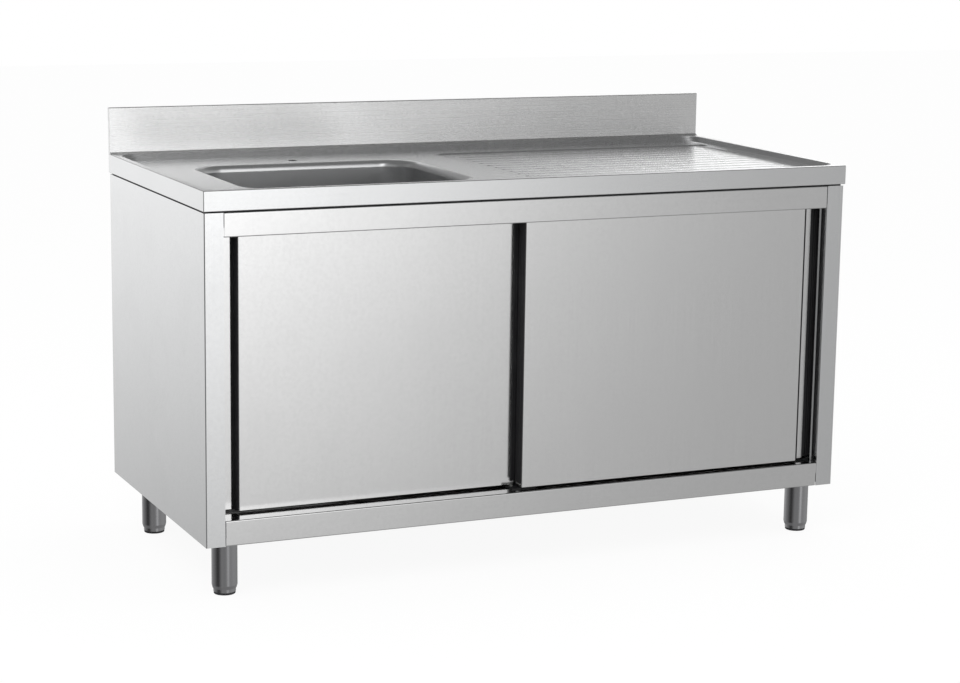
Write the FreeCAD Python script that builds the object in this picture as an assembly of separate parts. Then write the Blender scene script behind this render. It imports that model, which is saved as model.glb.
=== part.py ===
"""Stainless steel kitchen sink unit: a worktop with bowl, drainer and splashback on a cabinet.

The cabinet has two sliding doors and four legs with adjustable feet. Sizes are in millimetres.
+Z is up and the doors face -Y. The origin is on the floor, below the middle of the worktop.
Every sheet-metal piece, seal, roller, leg and fitting is a separate solid with its own file.
"""

import FreeCAD, Part
import math
import os

from FreeCAD import Vector

# --- Overall sizes -----------------------------------------------------------------------------
WIDTH = 1500.0
DEPTH = 700.0
WORKTOP_HEIGHT = 850.0
SPLASH_HEIGHT = 104.0
CABINET_BOTTOM = 115.0

# --- Worktop -----------------------------------------------------------------------------------
WORKTOP_SHEET = 1.5
EDGE_HEIGHT = 42.0
EDGE_RETURN = 16.0
RIM_WIDTH = 15.0
RIM_SLOPE = 5.0
PAN_DEPTH = 14.0
PAN_CORNER_RADIUS = 34.0
PAN_FILLET = 5.0
SPLASH_THICKNESS = 12.0
SPLASH_BACK_RETURN = 30.0
COVE_HEIGHT = 18.0
COVE_RUN = 33.0
TAP_HOLE_DIAMETER = 22.0
TAP_HOLE_BEHIND_BOWL = 44.0

# --- Drainer -----------------------------------------------------------------------------------
DRAINER_LEFT = 754.0
DRAINER_RIGHT_MARGIN = 30.0
DRAINER_FRONT = 60.0
DRAINER_REAR = 600.0
DRAINER_DEPTH = 3.0
DRAINER_SLOPE = 4.0
DRAINER_CORNER_RADIUS = 26.0
RIB_PITCH = 41.0
RIB_RADIUS = 14.0
RIB_HEIGHT = 1.2
RIB_END_MARGIN = 36.0

# --- Bowl --------------------------------------------------------------------------------------
BOWL_WIDTH = 500.0
BOWL_LENGTH = 400.0
BOWL_DEPTH = 250.0
BOWL_CENTRE_FROM_LEFT = 391.0
BOWL_CENTRE_FROM_FRONT = 310.0
BOWL_CORNER_RADIUS = 62.0
BOWL_FLOOR_RADIUS = 42.0
BOWL_ROLL_RADIUS = 15.0
BOWL_SHEET = 1.0

# --- Waste outlet and standpipe ----------------------------------------------------------------
WASTE_FROM_BOWL_REAR = 105.0
WASTE_HOLE_DIAMETER = 60.0
WASTE_FLANGE_DIAMETER = 86.0
WASTE_FLANGE_THICKNESS = 2.5
WASTE_DISH_DEPTH = 3.5
WASTE_DISH_MARGIN = 4.0
WASTE_NECK_DIAMETER = 59.4
WASTE_NECK_BORE = 50.0
WASTE_NECK_LENGTH = 38.0
WASTE_GASKET_THICKNESS = 3.0
WASTE_GASKET_DIAMETER = 82.0
WASTE_NUT_DIAMETER = 80.0
WASTE_NUT_HEIGHT = 10.0
WASTE_THREAD_CLEARANCE = 0.05
WASTE_SOCKET_DIAMETER = 68.0
WASTE_SOCKET_DEPTH = 14.0
WASTE_BODY_TAPER = 12.0
WASTE_TAIL_DIAMETER = 47.8
WASTE_TAIL_BORE = 40.0
WASTE_TAIL_LENGTH = 30.0
STANDPIPE_DIAMETER = 42.0
STANDPIPE_WALL = 1.5
STANDPIPE_HEIGHT = 200.0
STANDPIPE_PLUG_DEPTH = 12.0
STANDPIPE_COLLAR_DIAMETER = 58.0
STANDPIPE_COLLAR_HEIGHT = 6.0
STANDPIPE_SEAT_CLEARANCE = 0.3
STANDPIPE_HANDLE_DIAMETER = 5.0
STANDPIPE_SEAL_SECTION = 3.0

# --- Cabinet sheet metal -----------------------------------------------------------------------
CABINET_SHEET = 1.2
CABINET_SIDE_INSET = 2.0
CABINET_FRONT_INSET = 4.0
CABINET_BACK_INSET = 2.0
WORKTOP_GAP = 3.5
POST_WIDTH = 41.0
POST_DEPTH = 27.5
POST_LIP = 4.5
SIDE_TOP_FLANGE = 32.0
SIDE_BOTTOM_FLANGE = 24.0
SIDE_REAR_FLANGE = 25.0
SEAM_GAP = 0.5
HEADER_HEIGHT = 50.0
HEADER_BOTTOM_FLANGE = 12.0
SHELF_RAIL_HEIGHT = 53.5
SHELF_BOTTOM_FLANGE = 24.0
REAR_RAIL_HEIGHT = 50.0
REAR_RAIL_DEPTH = 30.0
SERVICE_OPENING_WIDTH = 300.0
SERVICE_OPENING_HEIGHT = 240.0
SERVICE_OPENING_ABOVE_SHELF = 60.0
SERVICE_OPENING_RADIUS = 20.0
SPACER_INSET = 5.0
SPACER_WIDTH = 10.0

# --- Worktop backing ---------------------------------------------------------------------------
BOARD_THICKNESS = 18.0
STIFFENER_WIDTH = 60.0
STIFFENER_CROWN = 34.0
STIFFENER_SHEET = 1.5
STIFFENER_END_MARGIN = 30.0

# --- Sliding doors -----------------------------------------------------------------------------
DOOR_WIDTH = 750.0
DOOR_THICKNESS = 28.0
DOOR_SHEET = 1.0
DOOR_END_INSET = 31.2
FRONT_DOOR_SETBACK = 20.0
DOOR_GAP = 7.0
DOOR_FLOOR_GAP = 5.5
DOOR_HEADER_OVERLAP = 14.0
DOOR_TRAVEL = 630.0
GRIP_WIDTH = 58.0
GRIP_DEPTH = 19.0
GRIP_TRIM_WIDTH = 10.0
GRIP_TRIM_END_GAP = 8.0
SIDE_SEAL_WIDTH = 31.0
SIDE_SEAL_SETBACK = 21.0
SIDE_SEAL_END_GAP = 3.0
EDGE_SEAL_THICKNESS = 1.6
EDGE_SEAL_RIB = 1.4
FACE_SEAL_WIDTH = 15.0
FACE_SEAL_THICKNESS = 3.0
FACE_SEAL_FROM_EDGE = 58.8
GUIDE_SLOT_WIDTH = 10.0
GUIDE_SLOT_HEIGHT = 16.0

# --- Door track and rollers --------------------------------------------------------------------
TRACK_SHEET = 1.5
TRACK_HEIGHT = 27.0
TRACK_LIP = 2.0
TRACK_SLOT_WIDTH = 8.0
TRACK_END_CLEARANCE = 1.0
ROLLER_DIAMETER = 18.0
ROLLER_WIDTH = 7.0
ROLLER_SIDE_GAP = 0.5
ROLLER_TRACK_GAP = 0.3
AXLE_DIAMETER = 6.0
AXLE_CLEARANCE = 0.05
AXLE_HEAD_DIAMETER = 9.0
AXLE_HEAD_THICKNESS = 1.5
ROLLER_CHAMFER = 0.8
HANGER_STEM_THICKNESS = 5.0
HANGER_STEM_WIDTH = 26.0
HANGER_STEM_TOP = 7.0
HANGER_BASE_LENGTH = 64.0
HANGER_BASE_WIDTH = 20.0
HANGER_BASE_THICKNESS = 3.0
HANGER_FROM_OUTER_END = 100.0
HANGER_FROM_INNER_END = 100.0
STOP_LENGTH = 25.0
STOP_CLEARANCE = 0.5
GUIDE_LEFT_OF_MIDDLE = 50.0
GUIDE_LENGTH = 57.0
GUIDE_FIN_LENGTH = 31.0
GUIDE_FIN_WIDTH = 6.0
GUIDE_FIN_HEIGHT = 10.5
GUIDE_BASE_HEIGHT = 3.0
GUIDE_BASE_MARGIN = 7.0

# --- Legs and feet -----------------------------------------------------------------------------
LEG_DIAMETER = 54.0
LEG_WALL = 2.0
LEG_SIDE_INSET = 58.5
LEG_FRONT_INSET = 60.0
LEG_REAR_INSET = 128.0
LEG_TAPER_TOP = 20.0
LEG_TAPER_BOTTOM = 12.5
LEG_LIP_WALL = 0.9
LEG_PLATE_SIZE = 100.0
LEG_PLATE_THICKNESS = 3.0
LEG_BOLT_SPACING = 78.0
FOOT_DIAMETER = 47.0
FOOT_WALL = 2.0
FOOT_CLEARANCE = 0.35
FOOT_SLEEVE_TOP = 58.0
FOOT_FLOOR_THICKNESS = 3.5
FOOT_PAD_HEIGHT = 4.5
FOOT_PAD_INSET = 0.7
FOOT_PAD_SPIGOT_DIAMETER = 18.0
FOOT_TRAVEL = 40.0
SPINDLE_DIAMETER = 16.0
SPINDLE_TOP = 140.0
BUSH_BOTTOM = 66.0
BUSH_HEIGHT = 20.0
THREAD_CLEARANCE = 0.05

# --- Fasteners ---------------------------------------------------------------------------------
BOLT_DIAMETER = 8.0
BOLT_NUT_SIZE = 13.0
BOLT_NUT_HEIGHT = 6.5
BOLT_TIP = 4.0
SCREW_DIAMETER = 4.0
SCREW_HEAD_DIAMETER = 8.0
SCREW_HEAD_HEIGHT = 2.0
SCREW_LENGTH = 5.5
TRACK_SCREW_COUNT = 4
TRACK_SCREW_END_MARGIN = 150.0

# --- Planes worked out from the sizes above ------------------------------------------------------
LEFT = -WIDTH / 2
RIGHT = WIDTH / 2
FRONT = -DEPTH / 2
BACK = DEPTH / 2
EDGE_BOTTOM = WORKTOP_HEIGHT - EDGE_HEIGHT
PAN_TOP = WORKTOP_HEIGHT - PAN_DEPTH
PAN_UNDERSIDE = PAN_TOP - WORKTOP_SHEET
DRAINER_TOP = PAN_TOP - DRAINER_DEPTH
DRAINER_UNDERSIDE = DRAINER_TOP - WORKTOP_SHEET
SPLASH_TOP = WORKTOP_HEIGHT + SPLASH_HEIGHT
SPLASH_FACE = BACK - SPLASH_THICKNESS
COVE_TOP = PAN_TOP + COVE_HEIGHT
BOWL_X = LEFT + BOWL_CENTRE_FROM_LEFT
BOWL_Y = FRONT + BOWL_CENTRE_FROM_FRONT
BOWL_FLOOR = PAN_TOP - BOWL_DEPTH
WASTE_Y = BOWL_Y + BOWL_LENGTH / 2 - WASTE_FROM_BOWL_REAR
WASTE_SEAT = BOWL_FLOOR - WASTE_DISH_DEPTH
WASTE_UNDERSIDE = WASTE_SEAT - BOWL_SHEET

CABINET_TOP = EDGE_BOTTOM - WORKTOP_GAP
CABINET_LEFT = LEFT + CABINET_SIDE_INSET
CABINET_RIGHT = RIGHT - CABINET_SIDE_INSET
CABINET_FRONT = FRONT + CABINET_FRONT_INSET
CABINET_BACK = BACK - CABINET_BACK_INSET
INSIDE_LEFT = CABINET_LEFT + CABINET_SHEET
INSIDE_RIGHT = CABINET_RIGHT - CABINET_SHEET
INSIDE_BACK = CABINET_BACK - CABINET_SHEET
POST_INNER_LEFT = CABINET_LEFT + POST_WIDTH
POST_INNER_RIGHT = CABINET_RIGHT - POST_WIDTH
POST_BACK = CABINET_FRONT + POST_DEPTH
SHELF_TOP = CABINET_BOTTOM + SHELF_RAIL_HEIGHT
SHELF_UNDERSIDE = SHELF_TOP - CABINET_SHEET
HEADER_BOTTOM = CABINET_TOP - HEADER_HEIGHT

DOOR_BOTTOM = SHELF_TOP + DOOR_FLOOR_GAP
DOOR_TOP = HEADER_BOTTOM + DOOR_HEADER_OVERLAP
DOOR_PITCH = DOOR_THICKNESS + DOOR_GAP
TRACK_TOP = CABINET_TOP - CABINET_SHEET
TRACK_BOTTOM = TRACK_TOP - TRACK_HEIGHT
TRACK_LEFT = POST_INNER_LEFT + TRACK_END_CLEARANCE
TRACK_RIGHT = POST_INNER_RIGHT - TRACK_END_CLEARANCE
AXLE_HEIGHT = TRACK_BOTTOM + TRACK_LIP + ROLLER_TRACK_GAP + ROLLER_DIAMETER / 2
LEG_TOP = SHELF_UNDERSIDE - LEG_PLATE_THICKNESS
LEG_PLACES = {
    "front_left": (LEFT + LEG_SIDE_INSET, FRONT + LEG_FRONT_INSET),
    "front_right": (RIGHT - LEG_SIDE_INSET, FRONT + LEG_FRONT_INSET),
    "rear_left": (LEFT + LEG_SIDE_INSET, BACK - LEG_REAR_INSET),
    "rear_right": (RIGHT - LEG_SIDE_INSET, BACK - LEG_REAR_INSET),
}
# The left door runs in the rear channel and the right door in the front one.
DOOR_FACE = {"left": FRONT + FRONT_DOOR_SETBACK + DOOR_PITCH, "right": FRONT + FRONT_DOOR_SETBACK}


# --- Shape helpers -------------------------------------------------------------------------------
def block(x0, x1, y0, y1, z0, z1):
    """An axis-aligned box between two corners, given in any order."""
    low = Vector(min(x0, x1), min(y0, y1), min(z0, z1))
    return Part.makeBox(abs(x1 - x0), abs(y1 - y0), abs(z1 - z0), low)


def fuse(shapes):
    """One solid from several overlapping or touching ones."""
    whole = shapes[0]
    for shape in shapes[1:]:
        whole = whole.fuse(shape)
    return whole.removeSplitter()


def group(shapes):
    """Separate solids kept together in one file."""
    return Part.makeCompound(shapes)


def cylinder(x, y, z0, z1, diameter):
    """An upright cylinder."""
    return Part.makeCylinder(diameter / 2, z1 - z0, Vector(x, y, z0))


def rounded_outline(x0, x1, y0, y1, z, radius):
    """A closed wire: a rectangle with round corners at height z."""
    bend = radius * (1 - math.cos(math.pi / 4))
    corners = [(x1, y0, -1, 1), (x1, y1, -1, -1), (x0, y1, 1, -1), (x0, y0, 1, 1)]
    edges = []
    ends = []
    for index, (x, y, inward_x, inward_y) in enumerate(corners):
        on_y_side = Vector(x, y + inward_y * radius, z)
        on_x_side = Vector(x + inward_x * radius, y, z)
        middle = Vector(x + inward_x * bend, y + inward_y * bend, z)
        start, finish = (on_x_side, on_y_side) if index % 2 == 0 else (on_y_side, on_x_side)
        ends.append((start, middle, finish))
    for index, (start, middle, finish) in enumerate(ends):
        edges.append(Part.Arc(start, middle, finish).toShape())
        edges.append(Part.makeLine(finish, ends[(index + 1) % 4][0]))
    return Part.Wire(edges)


def rounded_prism(x0, x1, y0, y1, z0, z1, radius):
    """An upright prism on a rectangle with round corners."""
    base = Part.Face(rounded_outline(x0, x1, y0, y1, z0, radius))
    return base.extrude(Vector(0, 0, z1 - z0))


def edges_at(solid, z):
    """The edges that lie wholly at height z."""
    near = 1e-3
    return [e for e in solid.Edges if all(abs(v.Z - z) < near for v in e.Vertexes)
            and abs(e.BoundBox.ZMax - e.BoundBox.ZMin) < near]


def sunk_tray(floor, slopes, z0, z1, radius, fillet):
    """A shallow tray shape: sloped sides, round corners and a fillet round its floor.

    floor is (x0, x1, y0, y1) at z0, slopes is how far each side leans out on the way up to z1.
    """
    x0, x1, y0, y1 = floor
    left, right, front, back = slopes
    low = rounded_outline(x0, x1, y0, y1, z0, radius)
    high = rounded_outline(x0 - left, x1 + right, y0 - front, y1 + back, z1, radius + min(slopes))
    tray = Part.makeLoft([low, high], True, True)
    return tray.makeFillet(fillet, edges_at(tray, z0)) if fillet else tray


def prism(points, z0, z1):
    """An upright prism on a polygon of (x, y) points."""
    corners = [Vector(x, y, z0) for x, y in points]
    return Part.Face(Part.makePolygon(corners + corners[:1])).extrude(Vector(0, 0, z1 - z0))


def profile_along_x(points, x0, x1):
    """A prism along X on a polygon of (y, z) points."""
    corners = [Vector(x0, y, z) for y, z in points]
    return Part.Face(Part.makePolygon(corners + corners[:1])).extrude(Vector(x1 - x0, 0, 0))


def hexagon(x, y, z0, z1, across_flats):
    """A hexagonal prism, such as a nut."""
    radius = across_flats / 2 / math.cos(math.pi / 6)
    turns = [math.pi / 3 * step for step in range(6)]
    return prism([(x + radius * math.cos(a), y + radius * math.sin(a)) for a in turns], z0, z1)


def mirrored(shape):
    """The same shape on the other side of the middle plane."""
    return shape.mirror(Vector(0, 0, 0), Vector(1, 0, 0))


# --- Worktop ---------------------------------------------------------------------------------------
def rib(y, x0, x1):
    """One raised rib of the drainer, round along its back and at its ends."""
    axis_height = DRAINER_TOP + RIB_HEIGHT - RIB_RADIUS
    bar = Part.makeCylinder(RIB_RADIUS, x1 - x0, Vector(x0, y, axis_height), Vector(1, 0, 0))
    ends = [Part.makeSphere(RIB_RADIUS, Vector(x, y, axis_height)) for x in (x0, x1)]
    whole = fuse([bar] + ends)
    slab = block(x0 - RIB_RADIUS, x1 + RIB_RADIUS, y - RIB_RADIUS, y + RIB_RADIUS,
                 DRAINER_TOP - WORKTOP_SHEET / 2, WORKTOP_HEIGHT)
    return whole.common(slab)


def drainer_ribs():
    """The row of ribs, centred between the drainer's front and rear edges."""
    x0, x1, y0, y1 = drainer_bounds()
    count = int((y1 - y0) // RIB_PITCH)
    first = (y0 + y1 - (count - 1) * RIB_PITCH) / 2
    return [rib(first + step * RIB_PITCH, x0 + RIB_END_MARGIN, x1 - RIB_END_MARGIN) for step in range(count)]


def drainer_bounds():
    """The drainer's floor: x0, x1, y0, y1."""
    return (LEFT + DRAINER_LEFT, RIGHT - DRAINER_RIGHT_MARGIN, FRONT + DRAINER_FRONT, FRONT + DRAINER_REAR)


def grown(bounds, amount):
    """Bounds x0, x1, y0, y1 pushed out on every side."""
    x0, x1, y0, y1 = bounds
    return (x0 - amount, x1 + amount, y0 - amount, y1 + amount)


def pan_tray(offset):
    """The sunk pan of the worktop. offset 0 is its top face and the sheet's thickness its underside."""
    side = RIM_WIDTH + RIM_SLOPE
    floor = (LEFT + side, RIGHT - side, FRONT + side, SPLASH_FACE - COVE_RUN)
    depth = PAN_DEPTH + offset
    wall = RIM_SLOPE * depth / PAN_DEPTH
    slopes = (wall, wall, wall, COVE_RUN * depth / COVE_HEIGHT)
    return sunk_tray(grown(floor, offset), slopes, PAN_TOP - offset, WORKTOP_HEIGHT,
                     PAN_CORNER_RADIUS + offset, PAN_FILLET + offset)


def drainer_tray(offset):
    """The drainer's shallower sunk field, as pan_tray."""
    slopes = (DRAINER_SLOPE,) * 4
    return sunk_tray(grown(drainer_bounds(), offset), slopes, DRAINER_TOP - offset, PAN_TOP - offset,
                     DRAINER_CORNER_RADIUS + offset, 0)


def splashback_sheet():
    """The upstand: front sheet, top fold, back return, closed ends and the sloped cove at its foot."""
    sheet = WORKTOP_SHEET
    front = block(LEFT, RIGHT, SPLASH_FACE, SPLASH_FACE + sheet, PAN_TOP, SPLASH_TOP)
    top = block(LEFT, RIGHT, SPLASH_FACE, BACK, SPLASH_TOP - sheet, SPLASH_TOP)
    back = block(LEFT, RIGHT, BACK - sheet, BACK, SPLASH_TOP - SPLASH_BACK_RETURN, SPLASH_TOP)
    ends = [block(x, x + sheet, SPLASH_FACE, BACK, WORKTOP_HEIGHT - sheet, SPLASH_TOP)
            for x in (LEFT, RIGHT - sheet)]
    reach = COVE_RUN * (COVE_HEIGHT - PAN_DEPTH) / COVE_HEIGHT
    cove = profile_along_x([(SPLASH_FACE, COVE_TOP), (SPLASH_FACE + sheet, COVE_TOP),
                            (SPLASH_FACE + sheet, WORKTOP_HEIGHT - sheet),
                            (SPLASH_FACE - reach, WORKTOP_HEIGHT - sheet),
                            (SPLASH_FACE - reach, WORKTOP_HEIGHT)], LEFT, RIGHT)
    return fuse([front, top, back, cove] + ends)


def worktop():
    """The whole top in one sheet: rims, sunk pan, drainer, folds, splashback, tap hole and bowl cut-out."""
    sheet = WORKTOP_SHEET
    outer = block(LEFT, RIGHT, FRONT, BACK, EDGE_BOTTOM, WORKTOP_HEIGHT)
    hollow = block(LEFT + sheet, RIGHT - sheet, FRONT + sheet, BACK - sheet,
                   EDGE_BOTTOM + sheet, WORKTOP_HEIGHT - sheet)
    way_in = block(LEFT + EDGE_RETURN, RIGHT - EDGE_RETURN, FRONT + EDGE_RETURN, BACK - EDGE_RETURN,
                   EDGE_BOTTOM, EDGE_BOTTOM + sheet)
    shell = outer.cut(hollow).cut(way_in)
    shell = shell.fuse(pan_tray(sheet)).fuse(drainer_tray(sheet)).fuse(splashback_sheet())
    shell = shell.cut(pan_tray(0)).cut(drainer_tray(0))
    shell = shell.fuse(group(drainer_ribs()))
    cut_out = bowl_opening(EDGE_BOTTOM, WORKTOP_HEIGHT)
    tap_y = BOWL_Y + BOWL_LENGTH / 2 + BOWL_ROLL_RADIUS + TAP_HOLE_BEHIND_BOWL
    tap_hole = cylinder(BOWL_X, tap_y, EDGE_BOTTOM + sheet, WORKTOP_HEIGHT, TAP_HOLE_DIAMETER)
    return shell.cut(cut_out).cut(tap_hole).removeSplitter()


# --- Bowl ------------------------------------------------------------------------------------------
def bowl_bounds(offset):
    """The bowl's inner walls pushed out by an offset: x0, x1, y0, y1."""
    return grown((BOWL_X - BOWL_WIDTH / 2, BOWL_X + BOWL_WIDTH / 2,
                  BOWL_Y - BOWL_LENGTH / 2, BOWL_Y + BOWL_LENGTH / 2), offset)


def bowl_opening(z0, z1):
    """The bowl's opening in the worktop, out to the edge of its rolled lip."""
    return rounded_prism(*bowl_bounds(BOWL_ROLL_RADIUS), z0, z1, BOWL_CORNER_RADIUS + BOWL_ROLL_RADIUS)


def bowl_hollow(offset):
    """The bowl's inside with its rolled lip. With the sheet's thickness as offset it is the outside."""
    top = PAN_TOP - offset
    roll = BOWL_ROLL_RADIUS - offset
    radius = BOWL_CORNER_RADIUS + offset
    well = rounded_prism(*bowl_bounds(offset), BOWL_FLOOR - offset, top, radius)
    well = well.makeFillet(BOWL_FLOOR_RADIUS + offset, edges_at(well, BOWL_FLOOR - offset))
    below = top - roll - BOWL_ROLL_RADIUS
    around = block(*bowl_bounds(3 * BOWL_ROLL_RADIUS), below, top)
    collar = around.cut(rounded_prism(*bowl_bounds(offset), below, top, radius))
    collar = collar.makeFillet(roll, [e for e in edges_at(collar, top) if within(e, bowl_bounds(offset))])
    flare = block(*bowl_bounds(BOWL_ROLL_RADIUS), below, top).cut(collar)
    flare = flare.common(rounded_prism(*bowl_bounds(BOWL_ROLL_RADIUS), below, top, radius + roll))
    return fuse([well, flare])


def within(edge, bounds):
    """True where an edge lies inside bounds x0, x1, y0, y1 or on them."""
    x0, x1, y0, y1 = grown(bounds, 1e-3)
    box = edge.BoundBox
    return box.XMin > x0 and box.XMax < x1 and box.YMin > y0 and box.YMax < y1


def sink_bowl():
    """The pressed bowl: rolled lip, round corners and floor, and the dish that seats the waste."""
    lip = bowl_opening(PAN_TOP - BOWL_SHEET, PAN_TOP)
    dish_diameter = WASTE_FLANGE_DIAMETER + 2 * WASTE_DISH_MARGIN
    dish_outer = cylinder(BOWL_X, WASTE_Y, WASTE_UNDERSIDE, BOWL_FLOOR, dish_diameter + 2 * BOWL_SHEET)
    dish_inner = cylinder(BOWL_X, WASTE_Y, WASTE_SEAT, BOWL_FLOOR, dish_diameter)
    hole = cylinder(BOWL_X, WASTE_Y, WASTE_UNDERSIDE, BOWL_FLOOR, WASTE_HOLE_DIAMETER)
    outer = fuse([bowl_hollow(BOWL_SHEET), lip, dish_outer])
    return outer.cut(bowl_hollow(0)).cut(dish_inner).cut(hole)


# --- Waste outlet and standpipe --------------------------------------------------------------------
def waste_flange():
    """The flange in the bowl's dish with the threaded neck that passes through the bowl."""
    top = WASTE_SEAT + WASTE_FLANGE_THICKNESS
    disc = cylinder(BOWL_X, WASTE_Y, WASTE_SEAT, top, WASTE_FLANGE_DIAMETER)
    neck = cylinder(BOWL_X, WASTE_Y, WASTE_SEAT - WASTE_NECK_LENGTH, top, WASTE_NECK_DIAMETER)
    bore = cylinder(BOWL_X, WASTE_Y, WASTE_SEAT - WASTE_NECK_LENGTH, top, WASTE_NECK_BORE)
    body = fuse([disc, neck]).cut(bore)
    rim = [e for e in edges_at(body, top) if e.BoundBox.XLength > WASTE_NECK_DIAMETER]
    return body.makeChamfer(WASTE_FLANGE_THICKNESS / 2, rim)


def waste_gasket():
    """The rubber ring between the bowl's underside and the back nut."""
    z0 = WASTE_UNDERSIDE - WASTE_GASKET_THICKNESS
    ring = cylinder(BOWL_X, WASTE_Y, z0, WASTE_UNDERSIDE, WASTE_GASKET_DIAMETER)
    return ring.cut(cylinder(BOWL_X, WASTE_Y, z0, WASTE_UNDERSIDE, WASTE_HOLE_DIAMETER))


def waste_nut():
    """The back nut that clamps the waste to the bowl, with six grip lugs."""
    top = WASTE_UNDERSIDE - WASTE_GASKET_THICKNESS
    z0 = top - WASTE_NUT_HEIGHT
    lugs = hexagon(BOWL_X, WASTE_Y, z0, top, WASTE_NUT_DIAMETER)
    return lugs.cut(cylinder(BOWL_X, WASTE_Y, z0, top, WASTE_NECK_DIAMETER + 2 * WASTE_THREAD_CLEARANCE))


def waste_body():
    """The tailpiece: a socket on the neck's end, a taper and the threaded tail for the trap."""
    neck_end = WASTE_SEAT - WASTE_NECK_LENGTH
    socket_top = neck_end + WASTE_SOCKET_DEPTH
    taper_end = neck_end - WASTE_BODY_TAPER
    tail_end = taper_end - WASTE_TAIL_LENGTH
    socket = cylinder(BOWL_X, WASTE_Y, neck_end, socket_top, WASTE_SOCKET_DIAMETER)
    taper = Part.makeCone(WASTE_TAIL_DIAMETER / 2, WASTE_SOCKET_DIAMETER / 2, WASTE_BODY_TAPER,
                          Vector(BOWL_X, WASTE_Y, taper_end))
    tail = cylinder(BOWL_X, WASTE_Y, tail_end, taper_end, WASTE_TAIL_DIAMETER)
    neck_room = cylinder(BOWL_X, WASTE_Y, neck_end, socket_top, WASTE_NECK_DIAMETER)
    taper_room = Part.makeCone(WASTE_TAIL_BORE / 2, WASTE_NECK_BORE / 2, WASTE_BODY_TAPER,
                               Vector(BOWL_X, WASTE_Y, taper_end))
    bore = cylinder(BOWL_X, WASTE_Y, tail_end, taper_end, WASTE_TAIL_BORE)
    return fuse([socket, taper, tail]).cut(neck_room).cut(taper_room).cut(bore)


def standpipe():
    """The overflow pipe that stands in the waste and lifts out, with its collar, plug end and bail."""
    seat = WASTE_SEAT + WASTE_FLANGE_THICKNESS + STANDPIPE_SEAT_CLEARANCE
    top = seat + STANDPIPE_HEIGHT
    bottom = seat - STANDPIPE_PLUG_DEPTH
    pipe = cylinder(BOWL_X, WASTE_Y, bottom, top, STANDPIPE_DIAMETER)
    collar = cylinder(BOWL_X, WASTE_Y, seat, seat + STANDPIPE_COLLAR_HEIGHT, STANDPIPE_COLLAR_DIAMETER)
    bore = cylinder(BOWL_X, WASTE_Y, bottom, top, STANDPIPE_DIAMETER - 2 * STANDPIPE_WALL)
    body = fuse([pipe, collar]).cut(bore)
    groove_bottom = seat - STANDPIPE_PLUG_DEPTH / 2
    groove_top = groove_bottom + STANDPIPE_SEAL_SECTION
    groove = cylinder(BOWL_X, WASTE_Y, groove_bottom, groove_top, STANDPIPE_DIAMETER)
    groove_floor = STANDPIPE_DIAMETER - STANDPIPE_WALL
    groove = groove.cut(cylinder(BOWL_X, WASTE_Y, groove_bottom, groove_top, groove_floor))
    span = STANDPIPE_DIAMETER - STANDPIPE_WALL
    bail_start = Vector(BOWL_X - span / 2, WASTE_Y, top - STANDPIPE_HANDLE_DIAMETER)
    bail = Part.makeCylinder(STANDPIPE_HANDLE_DIAMETER / 2, span, bail_start, Vector(1, 0, 0))
    return fuse([body.cut(groove), bail])


def standpipe_seal():
    """The rubber ring round the pipe's plug end, which fills the waste's bore."""
    seat = WASTE_SEAT + WASTE_FLANGE_THICKNESS + STANDPIPE_SEAT_CLEARANCE
    z0 = seat - STANDPIPE_PLUG_DEPTH / 2
    z1 = z0 + STANDPIPE_SEAL_SECTION
    ring = cylinder(BOWL_X, WASTE_Y, z0, z1, WASTE_NECK_BORE - 2 * STANDPIPE_SEAT_CLEARANCE)
    return ring.cut(cylinder(BOWL_X, WASTE_Y, z0, z1, STANDPIPE_DIAMETER - STANDPIPE_WALL))


# --- Worktop backing -------------------------------------------------------------------------------
def drainer_board():
    """The sound-deadening board glued under the drainer."""
    return block(*drainer_bounds(), DRAINER_UNDERSIDE - BOARD_THICKNESS, DRAINER_UNDERSIDE)


def worktop_stiffeners():
    """Two hat-section channels under the pan, one each side of the bowl."""
    z0 = EDGE_BOTTOM
    z1 = PAN_UNDERSIDE
    half = STIFFENER_WIDTH / 2
    crown = STIFFENER_CROWN / 2
    sheet = STIFFENER_SHEET
    front = FRONT + EDGE_RETURN + STIFFENER_END_MARGIN
    back = SPLASH_FACE - COVE_RUN - STIFFENER_END_MARGIN
    bowl = bowl_bounds(BOWL_ROLL_RADIUS)
    middles = ((LEFT + EDGE_RETURN + bowl[0]) / 2, (bowl[1] + LEFT + DRAINER_LEFT) / 2)
    channels = []
    for middle in middles:
        outline = [(-half, z1), (-half, z1 - sheet), (-crown, z1 - sheet), (-crown, z0), (crown, z0),
                   (crown, z1 - sheet), (half, z1 - sheet), (half, z1), (crown - sheet, z1),
                   (crown - sheet, z0 + sheet), (sheet - crown, z0 + sheet), (sheet - crown, z1)]
        corners = [Vector(middle + x, front, z) for x, z in outline]
        section = Part.Face(Part.makePolygon(corners + corners[:1]))
        channels.append(section.extrude(Vector(0, back - front, 0)))
    return group(channels)


def spacer_strip():
    """The black strip, recessed all round, on which the worktop stands on the cabinet."""
    x0, x1 = CABINET_LEFT + SPACER_INSET, CABINET_RIGHT - SPACER_INSET
    y0, y1 = CABINET_FRONT + SPACER_INSET, CABINET_BACK - SPACER_INSET
    ring = block(x0, x1, y0, y1, CABINET_TOP, EDGE_BOTTOM)
    return ring.cut(block(x0 + SPACER_WIDTH, x1 - SPACER_WIDTH, y0 + SPACER_WIDTH, y1 - SPACER_WIDTH,
                          CABINET_TOP, EDGE_BOTTOM))


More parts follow.
